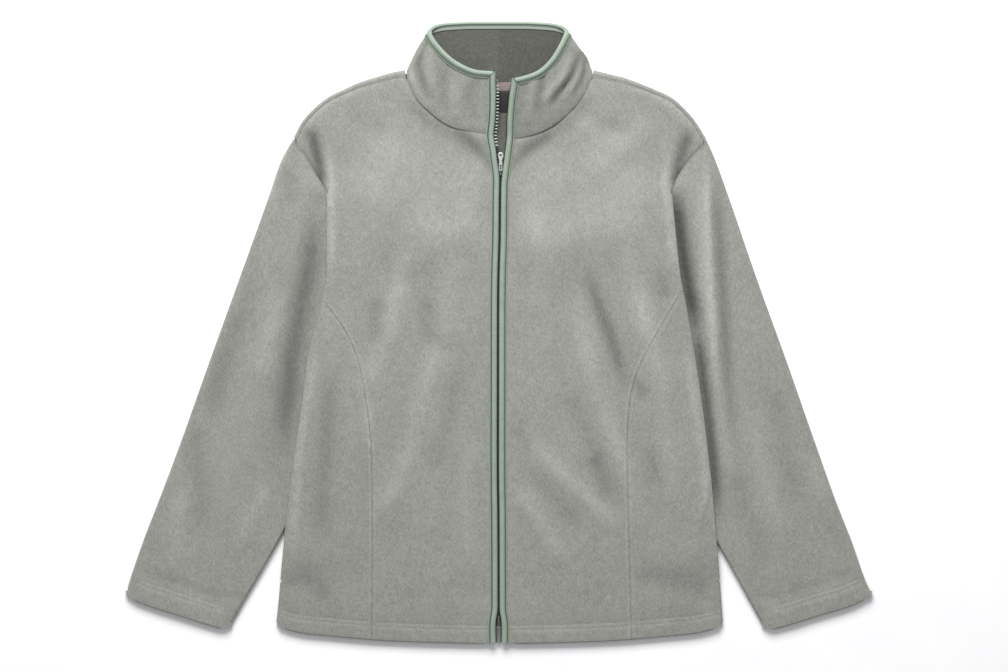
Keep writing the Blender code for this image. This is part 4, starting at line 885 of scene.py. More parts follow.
def thicken(piece, thickness, finish, smooth_below=62, tone=None, painted_shade_inside=None):
    """Gives a sheet its thickness in mm, its painted light and shade, its material and its smooth shading.

    The last argument is a test of a face's middle in mm and its normal, the darker material painted as shade
    inside the jacket, and whether all of a shell takes it or only the faces that pass."""
    pick(piece)
    count = len(piece.data.polygons)
    if tone is not None:
        piece.data.attributes.new("painted_light", "FLOAT", "POINT").data.foreach_set("value", tone)
    solid = piece.modifiers.new("Thickness", "SOLIDIFY")
    solid.thickness = thickness * MM
    solid.offset = 0.0
    bpy.ops.object.modifier_apply(modifier=solid.name)
    piece.data.materials.append(finish)
    if painted_shade_inside:
        inner, inner_finish, whole_shell = painted_shade_inside
        piece.data.materials.append(inner_finish)
        passed = [inner(face.center / MM, face.normal) for face in piece.data.polygons]
        if whole_shell:
            first = sum(passed[:count]) > sum(passed[count:2 * count])
            passed = [first] * count + [not first] * count + [False] * (len(passed) - 2 * count)
        piece.data.polygons.foreach_set("material_index", [int(value) for value in passed])
    bpy.ops.object.shade_smooth_by_angle(angle=math.radians(smooth_below))
    print(piece.name, len(piece.data.vertices), "points,", thickness, "mm thick")
    return piece


def turned(p, out, radius, up, flats, height=None):
    """A turned edge: half round outwards from p, up or down, then back in by each of flats."""
    x, y, z = p
    points = []
    for k in range(1, HALF_TURN_FACETS + 1):
        angle = math.pi * k / HALF_TURN_FACETS
        side = radius * math.sin(angle)
        lift = up * radius * (1 - math.cos(angle))
        points.append((x + out[0] * side, y + out[1] * side, z + lift))
    for flat in flats:
        back_x, back_y = x - out[0] * flat, y - out[1] * flat
        base = float(np.squeeze(height(back_x, back_y))) if height else z
        points.append((back_x, back_y, base + up * 2 * radius))
    return points


def quarter(p, out, radius, up, reach=None):
    """A quarter round from p, outwards by reach and up or down, with a short straight end."""
    x, y, z = p
    bend = radius * 0.85
    reach = reach or bend
    points = [(x + out[0] * reach * math.sin(a), y + out[1] * reach * math.sin(a),
               z + up * bend * (1 - math.cos(a))) for a in np.linspace(0, math.pi / 2, 6)[1:]]
    return points + [(points[-1][0], points[-1][1], z + up * radius)]


print("sheet helpers ready")

# %% [markdown]
# ## The sides
# From the armhole to a hand above the hem, each side folds in under itself and the sleeve
# lies in the fold. Below that, front and back meet in one round edge. These functions give
# the strip that hangs on each point of a panel's side edge.

# %% Side folds and hems
def fold_line(side, top, bottom):
    """The side fold from top to bottom."""
    heights = np.linspace(top, bottom, 40)
    return path(np.column_stack([side_fold[side](heights), heights]), FINE)


def closed_radius(y):
    return (level(SIDE_LEVEL, y) - BACK) / 2 - SEAM_GAP / 2


def fold_inset(side, y):
    """How far inside the fold the flat of the panel ends."""
    return RETURN_RADIUS + (closed_radius(y) - RETURN_RADIUS) * smooth((TUCK_BOTTOM - y) / 12)


def return_profile(side, p, up):
    """Round the fold, back in, then down to the sleeve or to the side seam."""
    x, y, z = p
    seam = y <= SEAM_TAIL_TOP
    inner = armhole_hidden[side](y) if y > ARMHOLE_HIDDEN[-1][0] else side_seam_hidden[side](y)
    reach = max(RETURN_RADIUS + 0.3, float(side_fold[side](y) - inner)) - RETURN_RADIUS
    other = BACK_RETURN if up < 0 else float(front_base(side, x, y)) - 2 * RETURN_RADIUS
    tail = (abs(z + up * 2 * RETURN_RADIUS - other) - SIDE_SEAM_GAP) / 2
    flat = reach - (tail if seam else 0.0)
    over = (lambda qx, qy: front_base(side, qx, qy)) if up < 0 else None
    points = turned(p, (1, 0), RETURN_RADIUS, up, (flat * 0.5, flat), over)
    if seam:
        return points + quarter(points[-1], (-1, 0), tail, up)
    qx, qy, qz = points[-1]
    dip = LAYER - CLOTH - SEAM_GAP
    return points + [(qx - SEAM_GAP * k / 2, qy, qz + up * dip * k / 6) for k in range(1, 7)]


def sew_side(sheet, side, numbers, up):
    """Hangs the side returns, and below them the closed round side, on these edge points."""
    kinds = {"tucked": [], "closed": []}
    for number in numbers:
        p = sheet.points[number]
        if TUCK_BOTTOM <= p[1] <= RETURN_TOP:
            kinds["tucked"].append((number, return_profile(side, p, up)))
        elif p[1] < TUCK_BOTTOM:
            kinds["closed"].append((number, quarter(
                p, (1, 0), float(closed_radius(p[1])), up, float(fold_inset(side, p[1])))))
    for rows in kinds.values():
        lengths = [len(profile) for _, profile in rows]
        for count in sorted(set(lengths)):
            run = [row for row in rows if len(row[1]) == count]
            if len(run) > 1:
                sheet.strip([number for number, _ in run], [profile for _, profile in run])


HEM_FLATS = (6.0, 11.0, 14.2, 15.5, 17.0, 19.2, 20.5, HEM_TURN)
HEM_CORNER, BINDING_HEM_CLEAR = 9.0, 17.0


def sew_hem(sheet, numbers, up, height):
    """Turns the hem under, up to just above its two rows of stitches."""
    kept = [i for i in numbers
            if BINDING_HEM_CLEAR <= sheet.points[i][0] <= HEM[-1][0] - HEM_CORNER]
    sheet.strip(kept, [turned(sheet.points[i], (0, -1), HEM_RADIUS, up, HEM_FLATS, height)
                       for i in kept])


SIDE_SEAM_GAP = 0.5
print("side fold, round side and hem ready")

# %% [markdown]
# ## The fronts
# The body's front is cut in four: a wide front each side of the zip, and a curved side panel
# that joins it in the princess seam. The panels' shared edges are read from one curve and
# set back by half the seam's gap, so they meet all the way.

# %% The four front panels
SEAM_ROWS = (1.0, 2.0, 2.75, 3.6, 5.0)      # distances from a seam that get rows of points


def rows_beside(lines, offsets):
    """Rows of points parallel to lines, on both sides of them."""
    return [inset_line(line, off * way) for line in lines for off in offsets for way in (-1, 1)]


def hem_rows():
    return [hem_line(8.0, 266.0, above=row - HEM_RADIUS + off)
            for row in HEM_ROWS for off in (-1.1, 0.0, 1.1)]


def cloth_edge(side, y):
    """Where the front's cloth ends inside its binding, outwards from the middle."""
    return SIDES[side] * rim_face[side](y) + RIM_TO_CLOTH


def make_panel(name, side, pieces, fold_piece, rows):
    """Fills a front panel and sews on its hem, which is its first edge, and its side."""
    sheet = Sheet()
    numbers = sheet.fill(np.vstack(pieces), lambda x, y: front_height(side, x, y), FINE, rows)
    starts = np.cumsum([0] + [len(piece) for piece in pieces])
    sew_hem(sheet, numbers[:starts[1]], -1, lambda x, y: front_height(side, x, y))
    sew_side(sheet, side, numbers[starts[fold_piece]:starts[fold_piece + 1]], -1)
    return thicken(new_mesh(name, sheet.points, sheet.faces, SIDES[side]), CLOTH, fleece,
                   tone=painted_light_tone("front", side, sheet.points))


def make_front(side):
    princess = inset_line(princess_line(side, 0.8), PRINCESS_GAP / 2)
    fold = fold_line(side, princess[-1][1] + 0.15, ARMHOLE[side][-1][1])
    armhole_end = ARMHOLE[side][-1][1]
    fold[:, 0] -= RETURN_RADIUS * smooth((armhole_end - fold[:, 1]) / (armhole_end - RETURN_TOP))
    neck = path(NECK_SEAM[side], FINE)[::-1]
    hem = hem_line(float(cloth_edge(side, HEM[0][1])), princess[0][0])
    heights = np.arange(neck[-1][1], hem[0][1], -6.0)[1:]
    centre = np.column_stack([cloth_edge(side, heights), heights])
    neck[-1][0] = cloth_edge(side, neck[-1][1])
    pieces = [hem, princess[1:], fold, path(ARMHOLE[side], FINE)[::-1][1:-1],
              shoulder_seam(side)[::-1][:-1], neck, centre]
    rows = rows_beside([princess_line(side, 3.0)], SEAM_ROWS) + hem_rows()
    rows += rows_beside([path(NECK_SEAM[side], FINE), shoulder_seam(side)], SEAM_ROWS[:2])
    return make_panel("front_panel_" + side, side, pieces, 2, rows)


def make_side_front(side):
    princess = inset_line(princess_line(side, 0.8), -PRINCESS_GAP / 2)
    fold = fold_line(side, princess[-1][1] - 0.15, HEM[-1][1])[::-1]
    fold[:, 0] -= fold_inset(side, fold[:, 1])
    hem = hem_line(princess[0][0], fold[0][0])
    fold[0] = hem[-1]
    rows = rows_beside([princess_line(side, 5.0)], SEAM_ROWS) + hem_rows()
    if side == "left":
        rows += rows_beside([path(POCKET_MOUTH, FINE)], (0.0, 2.0, 4.5, 6.0))
    return make_panel("side_panel_" + side, side, [hem, fold[1:], princess[::-1][:-1]], 1, rows)


fronts = {side: make_front(side) for side in SIDES}
side_fronts = {side: make_side_front(side) for side in SIDES}

# %% [markdown]
# ## The back
# The back is one piece. It lies flat on the table, wraps forward over each shoulder to a
# seam on the front, folds up at the sides, and shows inside the open collar.

# %% The back
def back_outline(side):
    """Half of the back's outline with the kind of each point, from mid hem to mid neck."""
    hem = hem_line(0.0, HEM[-1][0] - closed_radius(HEM[-1][1]))
    fold = fold_line(side, ARMHOLE[side][-1][1], HEM[-1][1])[::-1]
    fold[:, 0] -= fold_inset(side, fold[:, 1])
    shoulder = path(SHOULDER_FOLD[side], FINE)
    radius = (front_base(side, shoulder[:, 0], shoulder[:, 1]) - BACK) / 2
    shoulder = inset_line(shoulder, -radius)[::-1]
    edges = [("hem", hem), ("fold", fold[1:]), ("armhole", path(ARMHOLE[side], FINE)[::-1][1:-1]),
             ("shoulder", shoulder), ("neck", path(BACK_NECK, FINE)[1:])]
    return [(x, y, kind) for kind, line in edges for x, y in line]


def sew_shoulder(sheet, side, numbers):
    """Wraps the back over the shoulder, down to the seam on the front."""
    line = np.array([sheet.points[i][:2] for i in numbers])
    first, last = SHOULDER_SEAM_INSET
    depth, width = SEAM_DITCH
    profiles = []
    for i, way, share in zip(numbers, -across(line), np.linspace(0, 1, len(numbers)) ** 0.5):
        p = sheet.points[i]
        radius = float(front_base(side, p[0], p[1]) - BACK) / 2
        flat = max(0.4, first + (last - first) * share - radius - SEAM_GAP)
        profile = turned(p, way, radius, 1, (flat * 0.4, max(flat - 1.2, flat * 0.7), flat))
        profiles.append([
            (x, y, z - depth * math.exp(-((flat - back) / width) ** 2) * (back > 0))
            for (x, y, z), back in zip(profile, [0] * HALF_TURN_FACETS
                                       + [flat * 0.4, max(flat - 1.2, flat * 0.7), flat])])
    sheet.strip(numbers, profiles)


def back_height(x, y):
    """The back lies on the table; here and there it stands a little off it."""
    calm = smooth((150 - np.abs(x)) / 40) * smooth((y + 330) / 50) * smooth((290 - y) / 30)
    return BACK + np.maximum(0.0, 1.6 * lumps(x, y, 23.0) + 0.12) * calm


def make_back():
    rows = {side: back_outline(side) for side in SIDES}
    outline = [(x, y) for x, y, _ in rows["left"]] + [(-x, y) for x, y, _ in rows["right"][1:-1]][::-1]
    kinds = [k for _, _, k in rows["left"]] + [k for _, _, k in rows["right"][1:-1]][::-1]
    sheet = Sheet()
    numbers = sheet.fill(outline, back_height, COARSE)
    for side, mirror in SIDES.items():
        half = Sheet()
        half.points = [(x * mirror, y, z) for x, y, z in sheet.points]
        first = len(half.points)
        for kind in ("hem", "fold", "shoulder"):
            chosen = [i for i, k in zip(numbers, kinds) if k == kind and half.points[i][0] > 0]
            chosen.sort(key=lambda i: -half.points[i][1] if kind == "fold" else half.points[i][0])
            if kind == "hem":
                sew_hem(half, chosen, 1, None)
            elif kind == "fold":
                sew_side(half, side, chosen, 1)
            else:
                sew_shoulder(half, side, chosen)
        sheet.points += [(x * mirror, y, z) for x, y, z in half.points[first:]]
        sheet.faces += half.faces
    # Painted shade: the back's inside faces, seen through the open neck, take the darker fleece.
    inner = lambda middle, normal: normal.z > 0.3 and middle.z < 2.6 and abs(middle.x) < 150
    return thicken(new_mesh("back_panel", sheet.points, sheet.faces), CLOTH, fleece,
                   painted_shade_inside=(inner, fleece_painted_shade, False))


back = make_back()

# %% [markdown]
# ## The sleeves
# A sleeve is a tube laid flat: an upper and a lower layer joined by a round at each long
# side. The cuff is turned in on itself. Both layers share one outline, so their edges can be
# bridged point by point.

# %% The two sleeves
CUFF_CORNER = 10.0
CUFF_FLATS = (7.0, 14.0, 18.8, 20.0, 21.2, 23.8, 25.0, CUFF_TURN)


def make_sleeve(side):
    def radius(line):
        top, bottom = sleeve_bases(side, line[:, 0], line[:, 1])
        return (top - bottom) / 2
    hidden = path([(row[1 if side == "right" else 2], row[0]) for row in ARMHOLE_HIDDEN], FINE)
    armhole = inset_line(np.vstack([path(ARMHOLE[side], FINE), hidden[1:]]), SEAM_GAP)
    inner = path(SLEEVE_INNER[side], FINE)
    inner = inset_line(inner, radius(inner))
    cuff = inset_line(path(CUFF[side], FINE), HEM_RADIUS)
    outer = path(SLEEVE_OUTER[side], FINE)[::-1]
    outer = inset_line(outer, radius(outer))
    inner[-1], outer[0] = cuff[0], cuff[-1]
    pieces = [armhole[1:-1], inner, cuff[1:-1], outer]
    outline = np.vstack(pieces)
    starts = np.cumsum([0] + [len(piece) for piece in pieces])
    rows = [cuff_row(side, row + off) for row in CUFF_ROWS for off in (-1.1, 0.0, 1.1)]
    sheet = Sheet()
    top = sheet.fill(outline, lambda x, y: sleeve_front_height(side, x, y), FINE, rows)
    low = sheet.fill(outline, lambda x, y: sleeve_bases(side, x, y)[1], COARSE)
    for piece, line in ((1, inner), (3, outer)):
        profiles = []
        for i, j, way in zip(top[starts[piece]:], low[starts[piece]:], across(line)):
            p, q = np.array(sheet.points[i]), np.array(sheet.points[j])
            r = (p[2] - q[2]) / 2
            angles = np.linspace(0, math.pi, HALF_TURN_FACETS + 1)[1:-1]
            profiles.append([(p[0] + way[0] * r * math.sin(a), p[1] + way[1] * r * math.sin(a),
                              p[2] - r * (1 - math.cos(a))) for a in angles])
        edge = slice(starts[piece], starts[piece + 1])
        last = sheet.strip(top[edge], profiles)
        under = low[edge]
        sheet.faces += [(last[i], last[i + 1], under[i + 1], under[i]) for i in range(len(last) - 1)]
    for numbers, up in ((top, -1), (low, 1)):
        edge = [i for i in numbers[starts[2] - 1:starts[3] + 1]
                if min(math.dist(sheet.points[i][:2], cuff[0]),
                       math.dist(sheet.points[i][:2], cuff[-1])) > CUFF_CORNER]
        way = across(np.array([sheet.points[i][:2] for i in edge]))
        height = ((lambda x, y: sleeve_front_height(side, x, y)) if up < 0
                  else (lambda x, y: sleeve_bases(side, x, y)[1]))
        sheet.strip(edge, [turned(sheet.points[i], w, HEM_RADIUS, up, CUFF_FLATS, height)
                           for i, w in zip(edge, way)])
    return thicken(new_mesh("tube_sleeve_" + side, sheet.points, sheet.faces, SIDES[side]), CLOTH, fleece,
                   tone=painted_light_tone("sleeve", side, sheet.points))


sleeves = {side: make_sleeve(side) for side in SIDES}

# %% [markdown]
# ## The collar
# The stand-up collar is one curved sheet, lofted from its foot along the neck seam to its
# free top edge. It leans open, so its front ends lie flatter than its back. Small ridges and
# troughs cross it where it has been folded over by hand.

# %% The collar
COLLAR_ROWS = 18
NECK_GAP = 0.15
COLLAR_SHADE = {"right": -0.3, "left": -0.9}     # painted shade: each half of the collar is coloured darker, the left half more
# side, height, half width, course as (x outwards, y) over the part that faces up
COLLAR_CREASES = [
    ("right", -3.4, 4.5, [(86, 352), (97, 318), (93, 298), (83, 272)]),
    ("right", 3.0, 5.5, [(106, 312), (104, 290), (98, 276)]),
    ("right", 1.6, 5.5, [(78, 344), (84, 318), (80, 296), (70, 276)]),
    ("right", 1.8, 8.0, [(44, 308), (54, 280), (52, 252)]),
    ("right", -1.6, 7.0, [(62, 320), (68, 290), (62, 260)]),
    ("right", -1.2, 7.0, [(26, 304), (34, 276), (34, 248)]),
    ("left", -4.0, 3.6, [(98, 336), (88, 308), (76, 290), (60, 268)]),
    ("left", 2.8, 4.6, [(86, 332), (76, 306), (62, 288), (48, 272)]),
    ("left", -3.0, 3.6, [(98, 352), (103, 324), (98, 300), (86, 280)]),
    ("left", 2.0, 4.0, [(98, 322), (90, 298), (76, 276)]),
    ("left", 2.0, 6.0, [(42, 306), (38, 276), (34, 246)]),
    ("left", -1.8, 5.5, [(54, 312), (50, 284), (44, 254)]),
    ("left", 1.6, 5.0, [(62, 320), (58, 294), (54, 262)]),
]


def collar_feet(side):
    """The collar's foot from the zip to the middle of the back: rows of share, x, y, z."""
    neck = path(NECK_SEAM[side], FINE)
    neck = neck - across(neck) * NECK_GAP
    neck[0][0] = cloth_edge(side, neck[0][1])
    heights = front_base(side, neck[:, 0], neck[:, 1])
    rows = [(share, x, y, z) for share, (x, y), z in
            zip(np.linspace(0, 1, len(neck))[:-1], neck[:-1], heights[:-1])]
    turn = path([(x, y, BACK + (heights[-1] - BACK) * lift) for x, y, lift in COLLAR_TURN], 1.4)
    rows += [(share, x, y, z) for share, (x, y, z) in zip(np.linspace(1, 2, len(turn)), turn)]
    line = path(BACK_NECK, FINE)
    line = line + across(line) * SEAM_GAP
    line = line[line[:, 0] < COLLAR_TURN[-1][0] - 4]
    shares = np.linspace(2.0, 3.0, len(line) + 1)[1:]
    return rows + [(share, x, y, BACK) for share, (x, y) in zip(shares, line)]


def collar_half(side, rows):
    """Half of the collar as ribs from foot to top, x outwards."""
    top = path(COLLAR_TOP[side], 0.5)
    t = np.linspace(0, 1, rows)[:, None]
    ribs = []
    for share, *foot in collar_feet(side):
        end = np.array([np.interp(share, top[:, 0], top[:, k]) for k in (1, 2, 3)])
        bulge = COLLAR_BULGE * max(0.0, 1 - abs(share - 1.5) / 0.8)
        ribs.append(np.array(foot) + (end - foot) * t + np.array([bulge, 0, 0]) * 4 * t * (1 - t))
    return np.array(ribs)


def grid_normals(grid):
    """Unit normals of a grid of points, facing out of the collar."""
    normal = np.cross(np.gradient(grid, axis=1), np.gradient(grid, axis=0))
    return normal / np.linalg.norm(normal, axis=2)[:, :, None]


def collar_relief(side, ribs, shares):
    """How far the collar's creases and seam ditch move it along its normal."""
    flat = ribs.reshape(-1, 3)
    total = np.zeros(len(flat))
    for where, height, width, course in COLLAR_CREASES:
        if where == side:
            line = path(course, 3.0)
            gaps = np.hypot(flat[:, :1] - line[:, 0], flat[:, 1:2] - line[:, 1])
            share = gaps.argmin(axis=1) / (len(line) - 1)
            total += height * np.sin(np.pi * share) ** 0.6 * np.exp(-(gaps.min(axis=1) / width) ** 2)
    total = (total + 0.8 * lumps(flat[:, 0] * SIDES[side], flat[:, 1], 31.0)).reshape(ribs.shape[:2])
    t = np.linspace(0, 1, ribs.shape[1])
    calm = smooth(t / 0.14) * smooth((1 - t) / 0.16)
    front = smooth((1.75 - shares) / 0.4) * smooth(shares / 0.08)
    height = np.linalg.norm(ribs[:, 0] - ribs[:, -1], axis=1)[:, None]
    return total * calm * front[:, None] - ditch(t * height, SEAM_DITCH) * (shares < 0.97)[:, None]


def collar_grid(rows, relief):
    """The collar's ribs from the right front edge round the back to the left."""
    halves = {}
    for side in SIDES:
        ribs = collar_half(side, rows)
        if relief:
            shares = np.array([row[0] for row in collar_feet(side)])
            normal = grid_normals(ribs)
            facing = np.where(normal[:, :, 2:3] < 0, -1.0, 1.0) if rows > 2 else 1.0
            ribs = ribs + normal * facing * collar_relief(side, ribs, shares)[:, :, None]
        halves[side] = ribs * np.array([SIDES[side], 1, 1])
    return np.concatenate([halves["right"], halves["left"][::-1][1:]])


def loft(name, grid, mirror=1):
    """A sheet over a grid of points, with a UV map that measures it in metres."""
    grid = np.array(grid)
    width = grid.shape[1]
    faces = [(i * width + k, (i + 1) * width + k, (i + 1) * width + k + 1, i * width + k + 1)
             for i in range(len(grid) - 1) for k in range(width - 1)]
    piece = new_mesh(name, grid.reshape(-1, 3), faces, mirror)
    middle = grid[:, width // 2]
    along = np.concatenate([[0], np.cumsum(np.linalg.norm(np.diff(middle, axis=0), axis=1))])
    over = np.concatenate([[0], np.cumsum(np.linalg.norm(np.diff(grid[0], axis=0), axis=1))])
    layer = piece.data.uv_layers.new(name="cloth_run")
    for loop in piece.data.loops:
        i, k = divmod(loop.vertex_index, width)
        layer.data[loop.index].uv = (along[i] * MM, over[k] * MM)
    return piece


def collar_painted_light():
    """Painted light and shade of the collar: pale on its ridges, dark in its troughs, and darker on each half
    by its painted shade.
    """
    relief = collar_grid(COLLAR_ROWS, True) - collar_grid(COLLAR_ROWS, False)
    height = np.linalg.norm(relief, axis=2) * np.where(relief[:, :, 2] < 0, -1, 1)
    shade = np.where(np.arange(len(relief)) < len(relief) / 2, *COLLAR_SHADE.values())[:, None]
    return np.clip((height * 0.55 + shade).reshape(-1), -3.0, 1.0)


COLLAR_AXIS = Vector((0, 300, 5))
# Painted light and shade: the collar's colour carries its painted light, and its inside faces take the darker
# fleece as painted shade.
collar = thicken(
    loft("stand_collar", collar_grid(COLLAR_ROWS, True)), CLOTH, fleece, tone=collar_painted_light(),
    painted_shade_inside=(lambda middle, normal: (middle - COLLAR_AXIS).dot(normal) < 0, fleece_painted_shade, True))

# %% [markdown]
# ## The bindings
# The zip's edges and the collar's top edge are wrapped in stretch tape. Sewing squeezes it:
# a round rim stands at the edge, then a ditch where the needle ran, then the flat end of the
# tape. The profile gives the tape's middle as distance past the cloth's edge and height over
# the middle of the cloth. The two meet in a mitre at the collar's top corners.

# %% Bindings of the zip edges and the collar
MITRE_GAP = 1.4
TAPE_MIDDLE = 2.9
OUTWARDS = np.array([-1.0, 0.0, 0.0])


def frames(line, outwards):
    """Along a line: the points, the way of the line, the way out of the cloth, its normal."""
    line = np.array(line, float)
    way = np.gradient(line, axis=0)
    way /= np.linalg.norm(way, axis=1)[:, None]
    out = outwards - way * np.sum(outwards * way, axis=1)[:, None]
    out /= np.linalg.norm(out, axis=1)[:, None]
    return line, way, out, np.cross(out, way)


def front_edge(side, top, bottom, step=3.0):
    """The cloth edge of the front and its collar from top to bottom, with heights."""
    foot, end = collar_half(side, 2)[0]
    heights = np.linspace(top, bottom, round((top - bottom) / step) + 1)
    z = front_base(side, np.zeros(len(heights)), heights)
    rise = foot[2] + (end[2] - foot[2]) * (heights - foot[1]) / (end[1] - foot[1])
    return np.column_stack([cloth_edge(side, heights), heights, np.where(heights > foot[1], rise, z)])


def collar_top_y(side):
    return COLLAR_TOP[side][0][2]


def front_binding_grid(side):
    line = front_edge(side, collar_top_y(side) + 1.8, HEM[0][1] + HEM_RADIUS)
    p, way, out, up = frames(line, np.tile(OUTWARDS, (len(line), 1)))
    wave = np.array([0.10 * noise.noise((y / 9.0, SIDES[side], 4.0)) for y in line[:, 1]])
    grid = np.stack([p + out * d + up * (h + wave * (h > 1.5))[:, None] for d, h in BINDING_PROFILE], axis=1)
    for k, (d, _) in enumerate(BINDING_PROFILE):
        cut = max(0.0, -d) + MITRE_GAP if d < 0 else 0.0
        tail = np.arange(8)[:, None]
        grid[:8, k] += way[:8] * cut * (1 - tail / 8)
    return grid


def collar_edge_grid():
    grid = collar_grid(COLLAR_ROWS, False)
    tops = grid[:, -1]
    ribs = tops - grid[:, -3]
    ribs /= np.linalg.norm(ribs, axis=1)[:, None]
    _, way, out, _ = frames(tops, ribs)
    slant = 1 / np.maximum(0.6, np.sum(ribs * out, axis=1))
    rings = []
    for d, h in BINDING_PROFILE:
        line = tops - ribs * (slant * max(0.0, -d))[:, None]
        normal = grid_normals(np.stack([line - ribs * 2.0, line], axis=1))[:, 1]
        ring = line + out * max(0.0, d) + normal * h
        reach = MITRE_GAP + max(0.0, -d)
        for end, sign in ((0, 1), (-1, -1)):
            near = np.linalg.norm(tops - tops[end], axis=1)
            ring += way * (sign * reach * np.clip(1 - near / 22, 0, 1))[:, None]
        rings.append(ring)
    return np.stack(rings, axis=1)


front_grids = {side: front_binding_grid(side) for side in SIDES}
front_bindings = {
    side: thicken(loft("zip_edge_binding_" + side, front_grids[side], SIDES[side]),
                  BINDING, binding_cloth, 75)
    for side in SIDES}
collar_binding_grid = collar_edge_grid()
collar_binding = thicken(loft("collar_edge_binding", collar_binding_grid), BINDING, binding_cloth, 75)

# %% [markdown]
# ## The zip's tape and teeth
# A tape runs under each edge and carries a row of moulded teeth. Below the slider the two
# rows lock into each other, tooth between tooth, and hide in the slot between the rims.
# Above it they part. One tooth is modelled as by hand, and every other is a copy of it,
# because a shape that is repeated hundreds of times has to be light.

# %% Tapes and teeth
TAPE_BEYOND_RIM, TAPE_WIDTH, TAPE_SHORT, TAPE_BOTTOM = 0.9, 14.0, 6.0, -351
TOOTH = (3.5, 1.75, 1.45)        # across the zip, along it, thick
TOOTH_PITCH = 3.9
TOOTH_BEVEL = 0.28
SLIDER_Y, SLIDER_LENGTH, SLIDER_X = 187.5, 11.0, 1.4
TEETH_BOTTOM = -338.0
OPEN_TEETH_OUT = {"right": 1.5, "left": -2.6}   # how far the open teeth stand past the locked ones
PALE_TEETH_ABOVE = 222.0


def make_tape(side):
    line = front_edge(side, collar_top_y(side) - TAPE_SHORT, TAPE_BOTTOM, 5.0)
    p, _, out, up = frames(line, np.tile(OUTWARDS, (len(line), 1)))
    inner = RIM_TO_CLOTH + TAPE_BEYOND_RIM
    grid = np.stack([p + out * (inner - d) - up * TAPE_MIDDLE for d in (0, 3.5, 7, 10.5, TAPE_WIDTH)], axis=1)
    return thicken(loft("twill_tape_" + side, grid, SIDES[side]), TAPE, tape_cloth)


def model_tooth():
    """One tooth at the origin: a bevelled block with a narrower tip."""
    bpy.ops.object.select_all(action="DESELECT")
    bpy.ops.mesh.primitive_cube_add(size=MM, location=(0, 0, 0))
    tooth = bpy.context.object
    bpy.ops.object.mode_set(mode="EDIT")
    bpy.ops.transform.resize(value=TOOTH)
    bpy.ops.mesh.select_all(action="DESELECT")
    bpy.ops.object.mode_set(mode="OBJECT")
    for face in tooth.data.polygons:
        face.select = face.normal.x < -0.9
    bpy.ops.object.mode_set(mode="EDIT")
    bpy.ops.transform.resize(value=(1, 0.72, 0.8))
    bpy.ops.mesh.select_all(action="SELECT")
    bpy.ops.mesh.bevel(offset=TOOTH_BEVEL * MM, segments=1, affect="EDGES")
    bpy.ops.object.mode_set(mode="OBJECT")
    corners = np.array([v.co for v in tooth.data.vertices]) / MM
    faces = [tuple(face.vertices) for face in tooth.data.polygons]
    bpy.data.objects.remove(tooth)
    return corners, faces


def copies(name, shape, places, mirror, finish):
    """Many copies of a small shape in one mesh; each place is an origin and three axes."""
    corners, faces = shape
    points = np.concatenate([origin + corners @ np.array(axes) for origin, *axes in places])
    count = len(corners)
    rows = [tuple(i + count * n for i in face) for n in range(len(places)) for face in faces]
    piece = new_mesh(name, points, rows, mirror)
    piece.data.materials.append(finish)
    bpy.ops.object.shade_smooth_by_angle(angle=math.radians(40))
    print(name, len(places), "copies of", len(faces), "faces")
    return piece


def make_teeth(side):
    line = front_edge(side, collar_top_y(side) - TAPE_SHORT - 6.0, TEETH_BOTTOM, 1.0)
    p, way, out, up = frames(line, np.tile(OUTWARDS, (len(line), 1)))
    shift = TOOTH_PITCH / 2 if side == "left" else 0.0
    closed, open_rows = [], []
    y_rows = np.arange(TEETH_BOTTOM + shift, p[0][1], TOOTH_PITCH)
    middle = SLIDER_Y + SLIDER_LENGTH / 2
    for y in y_rows:
        if abs(y - middle) < SLIDER_LENGTH / 2 + 0.4:
            continue
        i = int(np.abs(p[:, 1] - y).argmin())
        centre = p[i] + out[i] * (RIM_TO_CLOTH + TOOTH[0] / 2 - 1.0) - up[i] * (TAPE_MIDDLE - 0.15)
        if y < middle:
            closed_x = (rim_face["left"](y) + rim_face["right"](y)) / 2
            centre[0] = closed_x * SIDES[side] + TOOTH[0] / 2 - 0.75
        else:
            centre += out[i] * OPEN_TEETH_OUT[side] * smooth((y - middle) / 30)
        centre[1] = y
        (closed if y < PALE_TEETH_ABOVE else open_rows).append((centre, out[i] * -1, way[i], up[i]))
    # The lower teeth take the dark plastic with painted shade, those above PALE_TEETH_ABOVE the pale one with
    # a painted highlight.
    return [copies(f"teeth_{kind}_{side}", model_tooth(), places, SIDES[side], finish)
            for kind, places, finish in (("locked", closed, dark_and_shaded_tooth_plastic), ("open", open_rows, highlit_tooth_plastic))]


tapes = {side: make_tape(side) for side in SIDES}
teeth = {side: make_teeth(side) for side in SIDES}

# %% [markdown]
# ## Inside the neck
# A herringbone tape covers the back neck seam and a bare satin label hangs from it.

# %% Neck tape and label
LABEL_PLACE, LABEL_SIZE, LABEL_THICK = (1.0, 287.5), (38.0, 24.0), 0.5
NECK_TAPE_REACH = (1.0, -1.6, -4.0, -6.4, -9.0)
neck_middle = BACK + CLOTH / 2 + SEAM_GAP + NECK_TAPE / 2
half = path(BACK_NECK[1:], FINE)
neck_line = np.vstack([half[:-1] * (-1, 1), half[::-1]])
neck_grid = [[(x, y + reach, neck_middle + 0.12 * (abs(reach + 4.0) < 3)) for reach in NECK_TAPE_REACH]
             for x, y in neck_line]
neck_tape = thicken(loft("herringbone_tape", neck_grid), NECK_TAPE, neck_tape_cloth)

